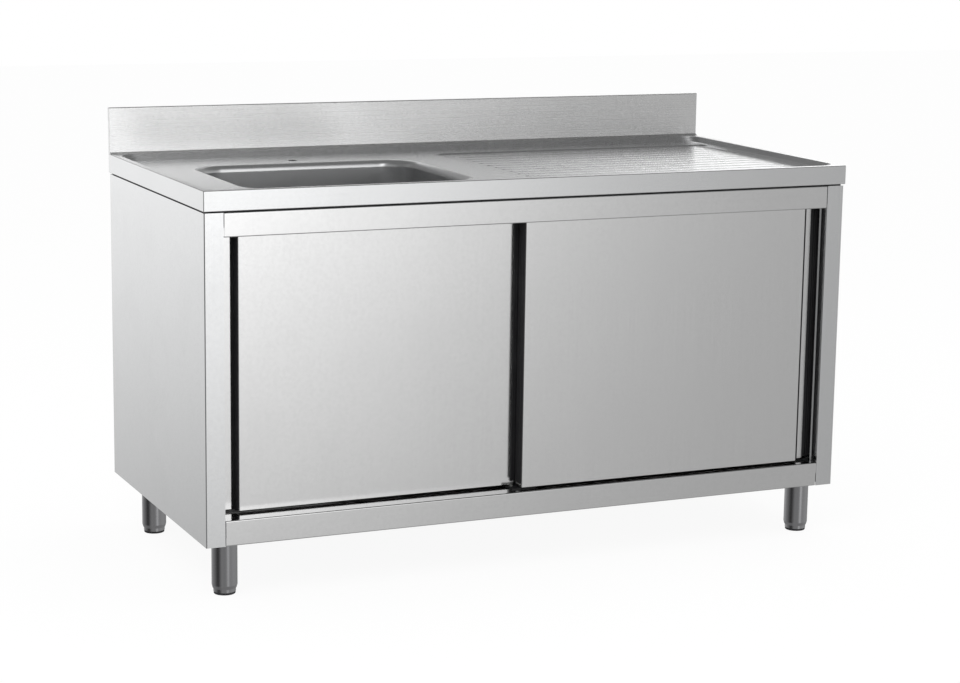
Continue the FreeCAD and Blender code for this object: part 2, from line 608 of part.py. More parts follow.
# --- Cabinet ---------------------------------------------------------------------------------------
def left_side_panel():
    """The side sheet with the front post, its inner return and lip, and flanges top, bottom and rear."""
    sheet = CABINET_SHEET
    height = (CABINET_BOTTOM, CABINET_TOP)
    side = block(CABINET_LEFT, INSIDE_LEFT, CABINET_FRONT, CABINET_BACK, *height)
    post = block(CABINET_LEFT, POST_INNER_LEFT, CABINET_FRONT, CABINET_FRONT + sheet, *height)
    inner = block(POST_INNER_LEFT - sheet, POST_INNER_LEFT, CABINET_FRONT, POST_BACK,
                  SHELF_UNDERSIDE, CABINET_TOP)
    lip = block(POST_INNER_LEFT - sheet, POST_INNER_LEFT + POST_LIP, POST_BACK - sheet, POST_BACK,
                SHELF_TOP, HEADER_BOTTOM)
    top = block(CABINET_LEFT, CABINET_LEFT + SIDE_TOP_FLANGE, CABINET_FRONT, CABINET_BACK,
                CABINET_TOP - sheet, CABINET_TOP)
    bottom = block(CABINET_LEFT, CABINET_LEFT + SIDE_BOTTOM_FLANGE, CABINET_FRONT, CABINET_BACK,
                   CABINET_BOTTOM, CABINET_BOTTOM + sheet)
    rear = block(CABINET_LEFT, CABINET_LEFT + SIDE_REAR_FLANGE, INSIDE_BACK, CABINET_BACK, *height)
    return fuse([side, post, inner, lip, top, bottom, rear])


def right_side_panel():
    """The right side, a mirror image of the left."""
    return mirrored(left_side_panel())


def back_panel():
    """The back sheet inside the rear flanges, with the opening for the water and waste pipes."""
    panel = block(INSIDE_LEFT, INSIDE_RIGHT, INSIDE_BACK - CABINET_SHEET, INSIDE_BACK,
                  CABINET_BOTTOM + CABINET_SHEET, CABINET_TOP - CABINET_SHEET)
    z0 = SHELF_TOP + SERVICE_OPENING_ABOVE_SHELF
    half = SERVICE_OPENING_WIDTH / 2
    opening = block(BOWL_X - half, BOWL_X + half, INSIDE_BACK - CABINET_SHEET, INSIDE_BACK,
                    z0, z0 + SERVICE_OPENING_HEIGHT)
    upright_edges = [e for e in opening.Edges if e.BoundBox.XLength < 1e-3 and e.BoundBox.ZLength < 1e-3]
    return panel.cut(opening.makeFillet(SERVICE_OPENING_RADIUS, upright_edges))


def bottom_shelf():
    """The cabinet floor folded down at the front into the bottom rail, between the posts."""
    sheet = CABINET_SHEET
    back = INSIDE_BACK - CABINET_SHEET
    front_x0, front_x1 = POST_INNER_LEFT + SEAM_GAP, POST_INNER_RIGHT - SEAM_GAP
    floor = block(INSIDE_LEFT, INSIDE_RIGHT, POST_BACK, back, SHELF_UNDERSIDE, SHELF_TOP)
    threshold = block(front_x0, front_x1, CABINET_FRONT, POST_BACK, SHELF_UNDERSIDE, SHELF_TOP)
    rail = block(front_x0, front_x1, CABINET_FRONT, CABINET_FRONT + sheet, CABINET_BOTTOM, SHELF_TOP)
    front_foot = block(front_x0, front_x1, CABINET_FRONT, CABINET_FRONT + SHELF_BOTTOM_FLANGE,
                       CABINET_BOTTOM, CABINET_BOTTOM + sheet)
    rear_x0, rear_x1 = CABINET_LEFT + SIDE_BOTTOM_FLANGE, CABINET_RIGHT - SIDE_BOTTOM_FLANGE
    rear_rail = block(rear_x0, rear_x1, back - sheet, back, CABINET_BOTTOM, SHELF_TOP)
    rear_foot = block(rear_x0, rear_x1, back - SHELF_BOTTOM_FLANGE, back,
                      CABINET_BOTTOM, CABINET_BOTTOM + sheet)
    holes = [cylinder(x, y, SHELF_UNDERSIDE, SHELF_TOP, SCREW_DIAMETER) for x, y in guide_screw_places()]
    return fuse([floor, threshold, rail, front_foot, rear_rail, rear_foot]).cut(group(holes))


def header_rail():
    """The top front rail between the posts, with the wide flange that carries the door track."""
    sheet = CABINET_SHEET
    x0, x1 = POST_INNER_LEFT + SEAM_GAP, POST_INNER_RIGHT - SEAM_GAP
    track_back = track_channels()[1] + channel_half_width()
    face = block(x0, x1, CABINET_FRONT, CABINET_FRONT + sheet, HEADER_BOTTOM, CABINET_TOP)
    bottom = block(x0, x1, CABINET_FRONT, CABINET_FRONT + HEADER_BOTTOM_FLANGE,
                   HEADER_BOTTOM, HEADER_BOTTOM + sheet)
    top = block(x0, x1, CABINET_FRONT, track_back + sheet, CABINET_TOP - sheet, CABINET_TOP)
    back = block(x0, x1, track_back, track_back + sheet, TRACK_BOTTOM, CABINET_TOP)
    holes = [cylinder(x, y, TRACK_TOP, CABINET_TOP, SCREW_DIAMETER) for x, y in track_screw_places()]
    return fuse([face, bottom, top, back]).cut(group(holes))


def rear_top_rail():
    """The channel that joins the side panels along the top of the back."""
    sheet = CABINET_SHEET
    y1 = INSIDE_BACK - sheet
    z1 = CABINET_TOP - sheet
    outer = block(INSIDE_LEFT, INSIDE_RIGHT, y1 - REAR_RAIL_DEPTH, y1, z1 - REAR_RAIL_HEIGHT, z1)
    room = block(INSIDE_LEFT, INSIDE_RIGHT, y1 - REAR_RAIL_DEPTH, y1 - sheet,
                 z1 - REAR_RAIL_HEIGHT + sheet, z1 - sheet)
    return outer.cut(room)


# --- Door track, stops and floor guide -------------------------------------------------------------
def track_channels():
    """The middle planes of the front and rear channels."""
    return [DOOR_FACE[side] + DOOR_THICKNESS / 2 for side in ("right", "left")]


def channel_half_width():
    """Half the width of one channel, from its middle plane to the middle of the shared web."""
    return DOOR_PITCH / 2


def door_track():
    """The double channel that both doors hang in, open below along two slots."""
    front, rear = track_channels()
    half = channel_half_width()
    outer = block(TRACK_LEFT, TRACK_RIGHT, front - half, rear + half, TRACK_BOTTOM, TRACK_TOP)
    cuts = []
    for middle in (front, rear):
        reach = half - TRACK_SHEET
        cuts.append(block(TRACK_LEFT, TRACK_RIGHT, middle - reach, middle + reach,
                          TRACK_BOTTOM + TRACK_LIP, TRACK_TOP - TRACK_SHEET))
        slot = TRACK_SLOT_WIDTH / 2
        cuts.append(block(TRACK_LEFT, TRACK_RIGHT, middle - slot, middle + slot,
                          TRACK_BOTTOM, TRACK_TOP - TRACK_SHEET))
    holes = [cylinder(x, y, TRACK_TOP - TRACK_SHEET, TRACK_TOP, SCREW_DIAMETER)
             for x, y in track_screw_places()]
    return outer.cut(group(cuts[0::2])).cut(group(cuts[1::2])).cut(group(holes))


def hanger_places(side):
    """Where a closed door's two hangers stand along X, the one nearer its post first."""
    return [door_x(side, HANGER_FROM_OUTER_END), door_x(side, DOOR_WIDTH - HANGER_FROM_INNER_END)]


def track_end_stops():
    """Four rubber blocks in the channels, which the hangers meet when a door is shut or fully open."""
    reach = HANGER_STEM_WIDTH / 2 + STOP_CLEARANCE
    half = channel_half_width() - TRACK_SHEET
    blocks = []
    for side, middle in zip(("right", "left"), track_channels()):
        opening_way = 1 if side == "left" else -1
        outer, inner = hanger_places(side)
        shut = outer - opening_way * reach
        opened = inner + opening_way * (DOOR_TRAVEL + reach)
        for start, way in ((shut, -opening_way), (opened, opening_way)):
            blocks.append(block(start, start + way * STOP_LENGTH, middle - half, middle + half,
                                TRACK_BOTTOM + TRACK_LIP, TRACK_TOP - TRACK_SHEET))
    return group(blocks)


def floor_guide():
    """The plastic guide on the cabinet floor, with a fin in the bottom slot of each door."""
    x0 = -GUIDE_LEFT_OF_MIDDLE
    x1 = x0 + GUIDE_LENGTH
    base_top = SHELF_TOP + GUIDE_BASE_HEIGHT
    front, rear = track_channels()
    base = block(x0, x1, front - GUIDE_BASE_MARGIN, rear + GUIDE_BASE_MARGIN, SHELF_TOP, base_top)
    fins = [block(x1 - GUIDE_FIN_LENGTH, x1, y - GUIDE_FIN_WIDTH / 2, y + GUIDE_FIN_WIDTH / 2,
                  SHELF_TOP, base_top + GUIDE_FIN_HEIGHT) for y in (front, rear)]
    holes = [cylinder(x, y, SHELF_TOP, base_top, SCREW_DIAMETER) for x, y in guide_screw_places()]
    return fuse([base] + fins).cut(group(holes))


def guide_screw_places():
    """The two screws of the floor guide, on its middle line."""
    front, rear = track_channels()
    middle = (front + rear) / 2
    x1 = GUIDE_LENGTH - GUIDE_LEFT_OF_MIDDLE
    return [(x1 - GUIDE_LENGTH + SCREW_HEAD_DIAMETER, middle), (x1 - SCREW_HEAD_DIAMETER, middle)]


def track_screw_places():
    """The screws of the track, spread along both of its channels."""
    span = TRACK_RIGHT - TRACK_LEFT - 2 * TRACK_SCREW_END_MARGIN
    steps = [span * step / (TRACK_SCREW_COUNT - 1) for step in range(TRACK_SCREW_COUNT)]
    return [(TRACK_LEFT + TRACK_SCREW_END_MARGIN + step, y) for step in steps for y in track_channels()]


def rail_screws():
    """The pan-head screws of the track, up into the header, and of the floor guide, down into the shelf."""
    screws = [screw(x, y, TRACK_TOP - TRACK_SHEET, 1) for x, y in track_screw_places()]
    return group(screws + [screw(x, y, SHELF_TOP + GUIDE_BASE_HEIGHT, -1) for x, y in guide_screw_places()])


def screw(x, y, seat, shank_way):
    """A pan-head screw with its head on the seat. shank_way is 1 for a shank that points up, -1 for down."""
    foot = Vector(x, y, seat)
    head = Part.makeCylinder(SCREW_HEAD_DIAMETER / 2, SCREW_HEAD_HEIGHT, foot, Vector(0, 0, -shank_way))
    shank = Part.makeCylinder(SCREW_DIAMETER / 2, SCREW_LENGTH, foot, Vector(0, 0, shank_way))
    return fuse([head, shank])


# --- Sliding doors ---------------------------------------------------------------------------------
def door_x(side, along):
    """X of a closed door's point, measured from the door's outer end towards the middle of the unit."""
    return LEFT + DOOR_END_INSET + along if side == "left" else RIGHT - DOOR_END_INSET - along


def door_block(side, s0, s1, t0, t1, z0, z1):
    """A box in a door: s from its outer end, t back from its face."""
    face = DOOR_FACE[side]
    return block(door_x(side, s0), door_x(side, s1), face + t0, face + t1, z0, z1)


def door_prism(side, points, z0, z1):
    """An upright prism in a door on (s, t) points."""
    face = DOOR_FACE[side]
    return prism([(door_x(side, s), face + t) for s, t in points], z0, z1)


def door_outer_skin(side):
    """The front sheet: face, sunk finger grip at the outer end, end walls, top and bottom folds."""
    sheet = DOOR_SHEET
    inside = DOOR_THICKNESS - sheet
    lip = (DOOR_THICKNESS - GUIDE_SLOT_WIDTH) / 2
    face = door_block(side, GRIP_WIDTH, DOOR_WIDTH, 0, sheet, DOOR_BOTTOM, DOOR_TOP)
    grip_wall = door_block(side, GRIP_WIDTH, GRIP_WIDTH + sheet, 0, GRIP_DEPTH, DOOR_BOTTOM, DOOR_TOP)
    wall_s = SIDE_SEAL_WIDTH
    grip_back = GRIP_DEPTH + sheet
    strip = door_block(side, wall_s, GRIP_WIDTH + sheet, GRIP_DEPTH, grip_back, DOOR_BOTTOM, DOOR_TOP)
    outer_wall = door_block(side, wall_s, wall_s + sheet, GRIP_DEPTH, inside, DOOR_BOTTOM, DOOR_TOP)
    inner_wall = door_block(side, DOOR_WIDTH - sheet, DOOR_WIDTH, 0, inside, DOOR_BOTTOM, DOOR_TOP)
    top = door_block(side, GRIP_WIDTH, DOOR_WIDTH, 0, inside, DOOR_TOP - sheet, DOOR_TOP)
    top_end = door_block(side, SIDE_SEAL_WIDTH, GRIP_WIDTH, GRIP_DEPTH, inside, DOOR_TOP - sheet, DOOR_TOP)
    bottom = door_block(side, GRIP_WIDTH, DOOR_WIDTH, 0, lip, DOOR_BOTTOM, DOOR_BOTTOM + sheet)
    gusset_outline = [(GRIP_WIDTH, 0), (GRIP_WIDTH, GRIP_DEPTH), (GRIP_WIDTH - GRIP_TRIM_WIDTH, GRIP_DEPTH)]
    gusset = door_prism(side, gusset_outline, DOOR_BOTTOM, DOOR_BOTTOM + GRIP_TRIM_END_GAP)
    return fuse([face, grip_wall, strip, outer_wall, inner_wall, top, top_end, bottom, gusset])


def door_inner_skin(side):
    """The back sheet with its bottom fold, which leaves the guide slot open."""
    sheet = DOOR_SHEET
    lip = (DOOR_THICKNESS + GUIDE_SLOT_WIDTH) / 2
    inside = DOOR_THICKNESS - sheet
    back = door_block(side, SIDE_SEAL_WIDTH, DOOR_WIDTH, inside, DOOR_THICKNESS, DOOR_BOTTOM, DOOR_TOP)
    fold = door_block(side, GRIP_WIDTH + sheet, DOOR_WIDTH - sheet, lip, inside,
                      DOOR_BOTTOM, DOOR_BOTTOM + sheet)
    return fuse([back, fold])


def door_core(side):
    """The stiffening core between the skins, clear of the guide slot."""
    sheet = DOOR_SHEET
    return door_block(side, GRIP_WIDTH + sheet, DOOR_WIDTH - sheet, sheet, DOOR_THICKNESS - sheet,
                      DOOR_BOTTOM + GUIDE_SLOT_HEIGHT, DOOR_TOP - sheet)


def door_grip_trim(side):
    """The black two-lobed trim on the finger grip's wall."""
    wall = GRIP_WIDTH
    lobe = GRIP_TRIM_WIDTH / 4
    outline = [(wall, DOOR_SHEET), (wall, GRIP_DEPTH), (wall - GRIP_TRIM_WIDTH, GRIP_DEPTH),
               (wall - 3.6 * lobe, GRIP_DEPTH * 0.68), (wall - 2.4 * lobe, GRIP_DEPTH * 0.6),
               (wall - 2.9 * lobe, GRIP_DEPTH * 0.5), (wall - 2 * lobe, GRIP_DEPTH * 0.22),
               (wall - lobe / 2, DOOR_SHEET)]
    return door_prism(side, outline, DOOR_BOTTOM + GRIP_TRIM_END_GAP, DOOR_TOP - SIDE_SEAL_END_GAP)


def door_side_seal(side):
    """The black seal at the door's outer end, ribbed in front, which closes behind the post."""
    back = DOOR_THICKNESS
    front = SIDE_SEAL_SETBACK
    rib_depth = (back - front) / 3
    width = SIDE_SEAL_WIDTH
    outline = [(width, front), (width, back), (0, back), (0, back - rib_depth), (width / 4, back - rib_depth),
               (width / 4, front), (width / 2.6, front), (width / 2.6, front + rib_depth),
               (width / 1.5, front + rib_depth), (width / 1.5, front)]
    return door_prism(side, outline, DOOR_BOTTOM + SIDE_SEAL_END_GAP, DOOR_TOP - SIDE_SEAL_END_GAP)


def left_door_meeting_seal():
    """The black strip on the rear door's face, beside the front door's edge."""
    s1 = DOOR_WIDTH - FACE_SEAL_FROM_EDGE
    s0 = s1 - FACE_SEAL_WIDTH
    half = FACE_SEAL_THICKNESS / 2
    groove = FACE_SEAL_WIDTH / 3
    outline = [(s0, 0), (s0, -FACE_SEAL_THICKNESS), (s0 + groove, -FACE_SEAL_THICKNESS), (s0 + groove, -half),
               (s1 - groove, -half), (s1 - groove, -FACE_SEAL_THICKNESS), (s1, -FACE_SEAL_THICKNESS), (s1, 0)]
    return door_prism("left", outline, DOOR_BOTTOM + GRIP_TRIM_END_GAP, DOOR_TOP - SIDE_SEAL_END_GAP)


def right_door_meeting_seal():
    """The ribbed black strip on the end wall of the front door."""
    s0 = DOOR_WIDTH
    s1 = s0 + EDGE_SEAL_THICKNESS
    tip = s1 + EDGE_SEAL_RIB
    depth = DOOR_THICKNESS - DOOR_SHEET
    outline = [(s0, DOOR_SHEET), (s0, depth), (tip, depth), (tip, depth * 0.8), (s1, depth * 0.7),
               (s1, depth * 0.45), (tip, depth * 0.4), (tip, depth * 0.25), (s1, DOOR_SHEET)]
    return door_prism("right", outline, DOOR_BOTTOM + GRIP_TRIM_END_GAP, DOOR_TOP - SIDE_SEAL_END_GAP)


# --- Door hangers and rollers ----------------------------------------------------------------------
def door_hanger(side, x):
    """A hanger: base plate on the door's top and the stem that reaches up into the channel."""
    y = DOOR_FACE[side] + DOOR_THICKNESS / 2
    base_top = DOOR_TOP + HANGER_BASE_THICKNESS
    base = block(x - HANGER_BASE_LENGTH / 2, x + HANGER_BASE_LENGTH / 2, y - HANGER_BASE_WIDTH / 2,
                 y + HANGER_BASE_WIDTH / 2, DOOR_TOP, base_top)
    stem = block(x - HANGER_STEM_WIDTH / 2, x + HANGER_STEM_WIDTH / 2, y - HANGER_STEM_THICKNESS / 2,
                 y + HANGER_STEM_THICKNESS / 2, DOOR_TOP, AXLE_HEIGHT + HANGER_STEM_TOP)
    bore = Part.makeCylinder(AXLE_DIAMETER / 2, HANGER_STEM_THICKNESS,
                             Vector(x, y - HANGER_STEM_THICKNESS / 2, AXLE_HEIGHT), Vector(0, 1, 0))
    holes = [cylinder(hx, y, DOOR_TOP, base_top, SCREW_DIAMETER) for hx in hanger_screw_places(x)]
    return fuse([base, stem]).cut(bore).cut(group(holes))


def hanger_screw_places(x):
    """X of the two screws of the hanger at x, midway between its stem and the ends of its base."""
    reach = (HANGER_BASE_LENGTH + HANGER_STEM_WIDTH) / 4
    return [x - reach, x + reach]


def hanger_screws(side):
    """The screws that fasten a door's hangers, down through its top fold into the core."""
    y = DOOR_FACE[side] + DOOR_THICKNESS / 2
    seat = DOOR_TOP + HANGER_BASE_THICKNESS
    screws = []
    for place in hanger_places(side):
        for x in hanger_screw_places(place):
            head = cylinder(x, y, seat, seat + SCREW_HEAD_HEIGHT, SCREW_HEAD_DIAMETER)
            shank = cylinder(x, y, DOOR_TOP, seat, SCREW_DIAMETER)
            screws.append(fuse([head, shank]))
    return group(screws)


def roller_reach():
    """How far the outer faces of a roller pair stand from the channel's middle plane."""
    return HANGER_STEM_THICKNESS / 2 + ROLLER_SIDE_GAP + ROLLER_WIDTH


def hanger_axles(side):
    """The axle pins through a door's two hangers, with a head outside each roller."""
    y = DOOR_FACE[side] + DOOR_THICKNESS / 2
    reach = roller_reach() + ROLLER_SIDE_GAP
    pins = []
    for x in hanger_places(side):
        start = Vector(x, y - reach, AXLE_HEIGHT)
        pin = Part.makeCylinder(AXLE_DIAMETER / 2, 2 * reach, start, Vector(0, 1, 0))
        head_starts = [Vector(x, head_y, AXLE_HEIGHT) for head_y in (y - reach - AXLE_HEAD_THICKNESS, y + reach)]
        heads = [Part.makeCylinder(AXLE_HEAD_DIAMETER / 2, AXLE_HEAD_THICKNESS, place, Vector(0, 1, 0))
                 for place in head_starts]
        pins.append(fuse([pin] + heads))
    return group(pins)


def roller_pair(side, x):
    """Two nylon rollers on one axle, either side of the hanger's stem."""
    y = DOOR_FACE[side] + DOOR_THICKNESS / 2
    rollers = []
    for start in (y - roller_reach(), y + roller_reach() - ROLLER_WIDTH):
        centre = Vector(x, start, AXLE_HEIGHT)
        wheel = Part.makeCylinder(ROLLER_DIAMETER / 2, ROLLER_WIDTH, centre, Vector(0, 1, 0))
        rims = [e for e in wheel.Edges if e.Curve.TypeId == "Part::GeomCircle"]
        wheel = wheel.makeChamfer(ROLLER_CHAMFER, rims)
        bore = Part.makeCylinder(AXLE_DIAMETER / 2 + AXLE_CLEARANCE, ROLLER_WIDTH, centre, Vector(0, 1, 0))
        rollers.append(wheel.cut(bore))
    return group(rollers)


# --- Legs and feet ---------------------------------------------------------------------------------
def leg_bolt_places(x, y):
    """The four bolts of the leg plate at x, y."""
    half = LEG_BOLT_SPACING / 2
    return [(x + dx, y + dy) for dx in (-half, half) for dy in (-half, half)]


def leg(x, y):
    """A leg: tube with a tapered lower lip and the plate that bolts it under the shelf."""
    mouth = FOOT_DIAMETER / 2 + FOOT_CLEARANCE
    radius = LEG_DIAMETER / 2
    inner = radius - LEG_WALL
    half = LEG_PLATE_SIZE / 2
    outline = [(mouth, LEG_TAPER_BOTTOM), (mouth + LEG_LIP_WALL, LEG_TAPER_BOTTOM), (radius, LEG_TAPER_TOP),
               (radius, LEG_TOP), (inner, LEG_TOP), (inner, LEG_TAPER_TOP + LEG_WALL / 2),
               (mouth, LEG_TAPER_BOTTOM + LEG_WALL)]
    corners = [Vector(x + r, y, z) for r, z in outline]
    tube = Part.Face(Part.makePolygon(corners + corners[:1])).revolve(Vector(x, y, 0), Vector(0, 0, 1), 360)
    plate = block(x - half, x + half, y - half, y + half, LEG_TOP, LEG_TOP + LEG_PLATE_THICKNESS)
    holes = [cylinder(bx, by, LEG_TOP, LEG_TOP + LEG_PLATE_THICKNESS, BOLT_DIAMETER)
             for bx, by in leg_bolt_places(x, y)]
    return fuse([tube, plate]).cut(group(holes))


def leg_bolts():
    """The welded studs and nuts that hold the four leg plates under the shelf."""
    bolts = []
    for x, y in LEG_PLACES.values():
        for bx, by in leg_bolt_places(x, y):
            nut = hexagon(bx, by, LEG_TOP - BOLT_NUT_HEIGHT, LEG_TOP, BOLT_NUT_SIZE)
            stud = cylinder(bx, by, LEG_TOP - BOLT_NUT_HEIGHT - BOLT_TIP, SHELF_UNDERSIDE, BOLT_DIAMETER)
            bolts.append(fuse([nut, stud]))
    return group(bolts)


def leg_bushes():
    """The threaded bush inside each leg, which the foot's spindle turns in."""
    bushes = []
    for x, y in LEG_PLACES.values():
        disc = cylinder(x, y, BUSH_BOTTOM, BUSH_BOTTOM + BUSH_HEIGHT, LEG_DIAMETER - 2 * LEG_WALL)
        hole = cylinder(x, y, BUSH_BOTTOM, BUSH_BOTTOM + BUSH_HEIGHT, SPINDLE_DIAMETER + 2 * THREAD_CLEARANCE)
        bushes.append(disc.cut(hole))
    return group(bushes)


def foot_sleeve(x, y):
    """An adjustable foot: the steel cup that telescopes in the leg, with its spindle."""
    floor_top = FOOT_PAD_HEIGHT + FOOT_FLOOR_THICKNESS
    cup = cylinder(x, y, FOOT_PAD_HEIGHT, FOOT_SLEEVE_TOP, FOOT_DIAMETER)
    room = cylinder(x, y, floor_top, FOOT_SLEEVE_TOP, FOOT_DIAMETER - 2 * FOOT_WALL)
    spindle = cylinder(x, y, floor_top, SPINDLE_TOP, SPINDLE_DIAMETER)
    spigot_top = FOOT_PAD_HEIGHT + FOOT_FLOOR_THICKNESS / 2
    spigot_hole = cylinder(x, y, FOOT_PAD_HEIGHT, spigot_top, FOOT_PAD_SPIGOT_DIAMETER)
    return fuse([cup.cut(room), spindle]).cut(spigot_hole)


def foot_pad(x, y):
    """The black pad pressed into the cup's floor."""
    pad = cylinder(x, y, 0, FOOT_PAD_HEIGHT, FOOT_DIAMETER - 2 * FOOT_PAD_INSET)
    pad = pad.makeFillet(FOOT_PAD_HEIGHT / 3, edges_at(pad, 0))
    spigot = cylinder(x, y, 0, FOOT_PAD_HEIGHT + FOOT_FLOOR_THICKNESS / 2, FOOT_PAD_SPIGOT_DIAMETER)
    return fuse([pad, spigot])


# --- Whole unit ------------------------------------------------------------------------------------
def build():
    """Every piece by its file's name."""
    pieces = {
        "worktop": worktop(),
        "sink_bowl": sink_bowl(),
        "drainer_board": drainer_board(),
        "worktop_stiffeners": worktop_stiffeners(),
        "spacer_strip": spacer_strip(),
        "left_side_panel": left_side_panel(),
        "right_side_panel": right_side_panel(),
        "back_panel": back_panel(),
        "bottom_shelf": bottom_shelf(),
        "header_rail": header_rail(),
        "rear_top_rail": rear_top_rail(),
        "door_track": door_track(),
        "track_end_stops": track_end_stops(),
        "rail_screws": rail_screws(),
        "floor_guide": floor_guide(),
        "waste_flange": waste_flange(),
        "waste_gasket": waste_gasket(),
        "waste_nut": waste_nut(),
        "waste_body": waste_body(),
        "standpipe": standpipe(),
        "standpipe_seal": standpipe_seal(),
        "leg_bushes": leg_bushes(),
        "leg_bolts": leg_bolts(),
        "left_door_meeting_seal": left_door_meeting_seal(),
        "right_door_meeting_seal": right_door_meeting_seal(),
    }
    for side in ("left", "right"):
        door = f"{side}_door"
        pieces[f"{door}_outer_skin"] = door_outer_skin(side)
        pieces[f"{door}_inner_skin"] = door_inner_skin(side)
        pieces[f"{door}_core"] = door_core(side)
        pieces[f"{door}_grip_trim"] = door_grip_trim(side)
        pieces[f"{door}_side_seal"] = door_side_seal(side)
        pieces[f"{door}_hanger_screws"] = hanger_screws(side)
        pieces[f"{door}_axles"] = hanger_axles(side)
        for end, x in zip(("outer", "inner"), hanger_places(side)):
            pieces[f"{door}_{end}_hanger"] = door_hanger(side, x)
            pieces[f"{door}_{end}_rollers"] = roller_pair(side, x)
    for place, (x, y) in LEG_PLACES.items():
        pieces[f"{place}_leg"] = leg(x, y)
        pieces[f"{place}_foot_sleeve"] = foot_sleeve(x, y)
        pieces[f"{place}_foot_pad"] = foot_pad(x, y)
    return pieces


os.makedirs("parts", exist_ok=True)
for name, shape in build().items():
    shape.exportStep(f"parts/{name}.step")
    print(name, "solids", len(shape.Solids), "valid", shape.isValid(), "volume", round(shape.Volume))
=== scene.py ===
"""Kitchen sink unit: the finished surfaces of its sheet metal, seals, legs and fittings, and the studio.

Everything is in metres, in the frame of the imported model: +Z is up, the doors face -Y and the origin
is on the floor below the middle of the worktop.
"""

import logging
import math
from abc import ABC, abstractmethod
from collections.abc import Callable, Iterator, Sequence
from contextlib import contextmanager
from dataclasses import dataclass
from enum import Enum

import bmesh
import bpy
from mathutils import Matrix, Vector


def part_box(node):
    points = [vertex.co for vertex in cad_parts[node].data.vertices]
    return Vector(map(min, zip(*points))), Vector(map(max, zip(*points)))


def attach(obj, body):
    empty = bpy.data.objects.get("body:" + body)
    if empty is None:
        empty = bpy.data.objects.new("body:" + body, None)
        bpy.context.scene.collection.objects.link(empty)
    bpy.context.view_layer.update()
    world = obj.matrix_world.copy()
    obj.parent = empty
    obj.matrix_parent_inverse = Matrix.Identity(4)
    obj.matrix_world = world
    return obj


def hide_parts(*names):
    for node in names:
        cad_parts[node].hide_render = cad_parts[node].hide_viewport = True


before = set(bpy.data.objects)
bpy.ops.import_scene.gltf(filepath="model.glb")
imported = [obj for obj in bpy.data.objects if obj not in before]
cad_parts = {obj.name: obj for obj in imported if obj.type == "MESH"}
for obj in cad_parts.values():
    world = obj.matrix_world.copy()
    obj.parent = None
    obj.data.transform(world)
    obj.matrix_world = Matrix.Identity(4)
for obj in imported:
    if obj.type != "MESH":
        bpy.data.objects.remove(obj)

logging.basicConfig(level=logging.INFO, format="%(message)s")
LOG = logging.getLogger("sink_unit")

MM = 0.001
SAME_PLACE = 1e-5
FULL_TURN = 2 * math.pi
CORNER_STEPS = 10
FINE_EDGE = 0.3 * MM
UPWARDS = Vector((0, 0, 1))
TO_THE_FRONT = Vector((0, -1, 0))

Bounds = tuple[float, float, float, float]


# --- Working on meshes ----------------------------------------------------------------------------
def only(piece: bpy.types.Object) -> None:
    """Leaves edit mode and makes one piece the only selected and the active one.

    Args:
        piece: The piece to work on next.
    """
    clear_selection()
    piece.select_set(True)
    bpy.context.view_layer.objects.active = piece


def clear_selection() -> None:
    """Leaves edit mode and deselects every object."""
    if bpy.context.mode != "OBJECT":
        bpy.ops.object.mode_set(mode="OBJECT")
    bpy.ops.object.select_all(action="DESELECT")


@contextmanager
def editing(piece: bpy.types.Object, mode: str = "VERT") -> Iterator[None]:
    """Holds one piece in edit mode.

    Args:
        piece: The piece to edit.
        mode: What is selected: VERT, EDGE or FACE.

    Returns:
        A context in which the mesh operators act on the piece.
    """
    only(piece)
    bpy.ops.object.mode_set(mode="EDIT")
    bpy.ops.mesh.select_mode(type=mode)
    try:
        yield
    finally:
        bpy.ops.object.mode_set(mode="OBJECT")


def select_whole() -> None:
    """Selects the whole mesh in edit mode."""
    bpy.ops.mesh.select_all(action="SELECT")


def pick_edges(piece: bpy.types.Object, wanted: Callable[[Vector, Vector], bool]) -> None:
    """Selects the edges of a piece in edit mode by the places of their two ends.

    Args:
        piece: The piece in edit mode.
        wanted: True for the two ends of an edge to select.
    """
    bpy.ops.mesh.select_mode(type="EDGE")
    bpy.ops.mesh.select_all(action="DESELECT")
    mesh = bmesh.from_edit_mesh(piece.data)
    for edge in mesh.edges:
        if wanted(edge.verts[0].co, edge.verts[1].co):
            edge.select_set(True)
    bmesh.update_edit_mesh(piece.data)


def box_round(places: Sequence[Vector]) -> tuple[Vector, Vector]:
    """The box round some places.

    Args:
        places: The places.

    Returns:
        The box's lowest and highest corner.
    """
    low = Vector([min(place[axis] for place in places) for axis in range(3)])
    high = Vector([max(place[axis] for place in places) for axis in range(3)])
    return low, high


def bring_to(piece: bpy.types.Object, bounds: Bounds) -> None:
    """Resizes and moves what is selected so that it fills new bounds in plan.

    Args:
        piece: The piece in edit mode.
        bounds: The new x0, x1, y0 and y1.
    """
    mesh = bmesh.from_edit_mesh(piece.data)
    low, high = box_round([vertex.co for vertex in mesh.verts if vertex.select])
    x0, x1, y0, y1 = bounds
    middle = (low + high) / 2
    factors = ((x1 - x0) / (high.x - low.x), (y1 - y0) / (high.y - low.y), 1.0)
    bpy.ops.transform.resize(value=factors, center_override=middle)
    bpy.ops.transform.translate(value=((x0 + x1) / 2 - middle.x, (y0 + y1) / 2 - middle.y, 0.0))


def grown(bounds: Bounds, amount: float) -> Bounds:
    """Bounds pushed out on every side by an amount."""
    x0, x1, y0, y1 = bounds
    return (x0 - amount, x1 + amount, y0 - amount, y1 + amount)


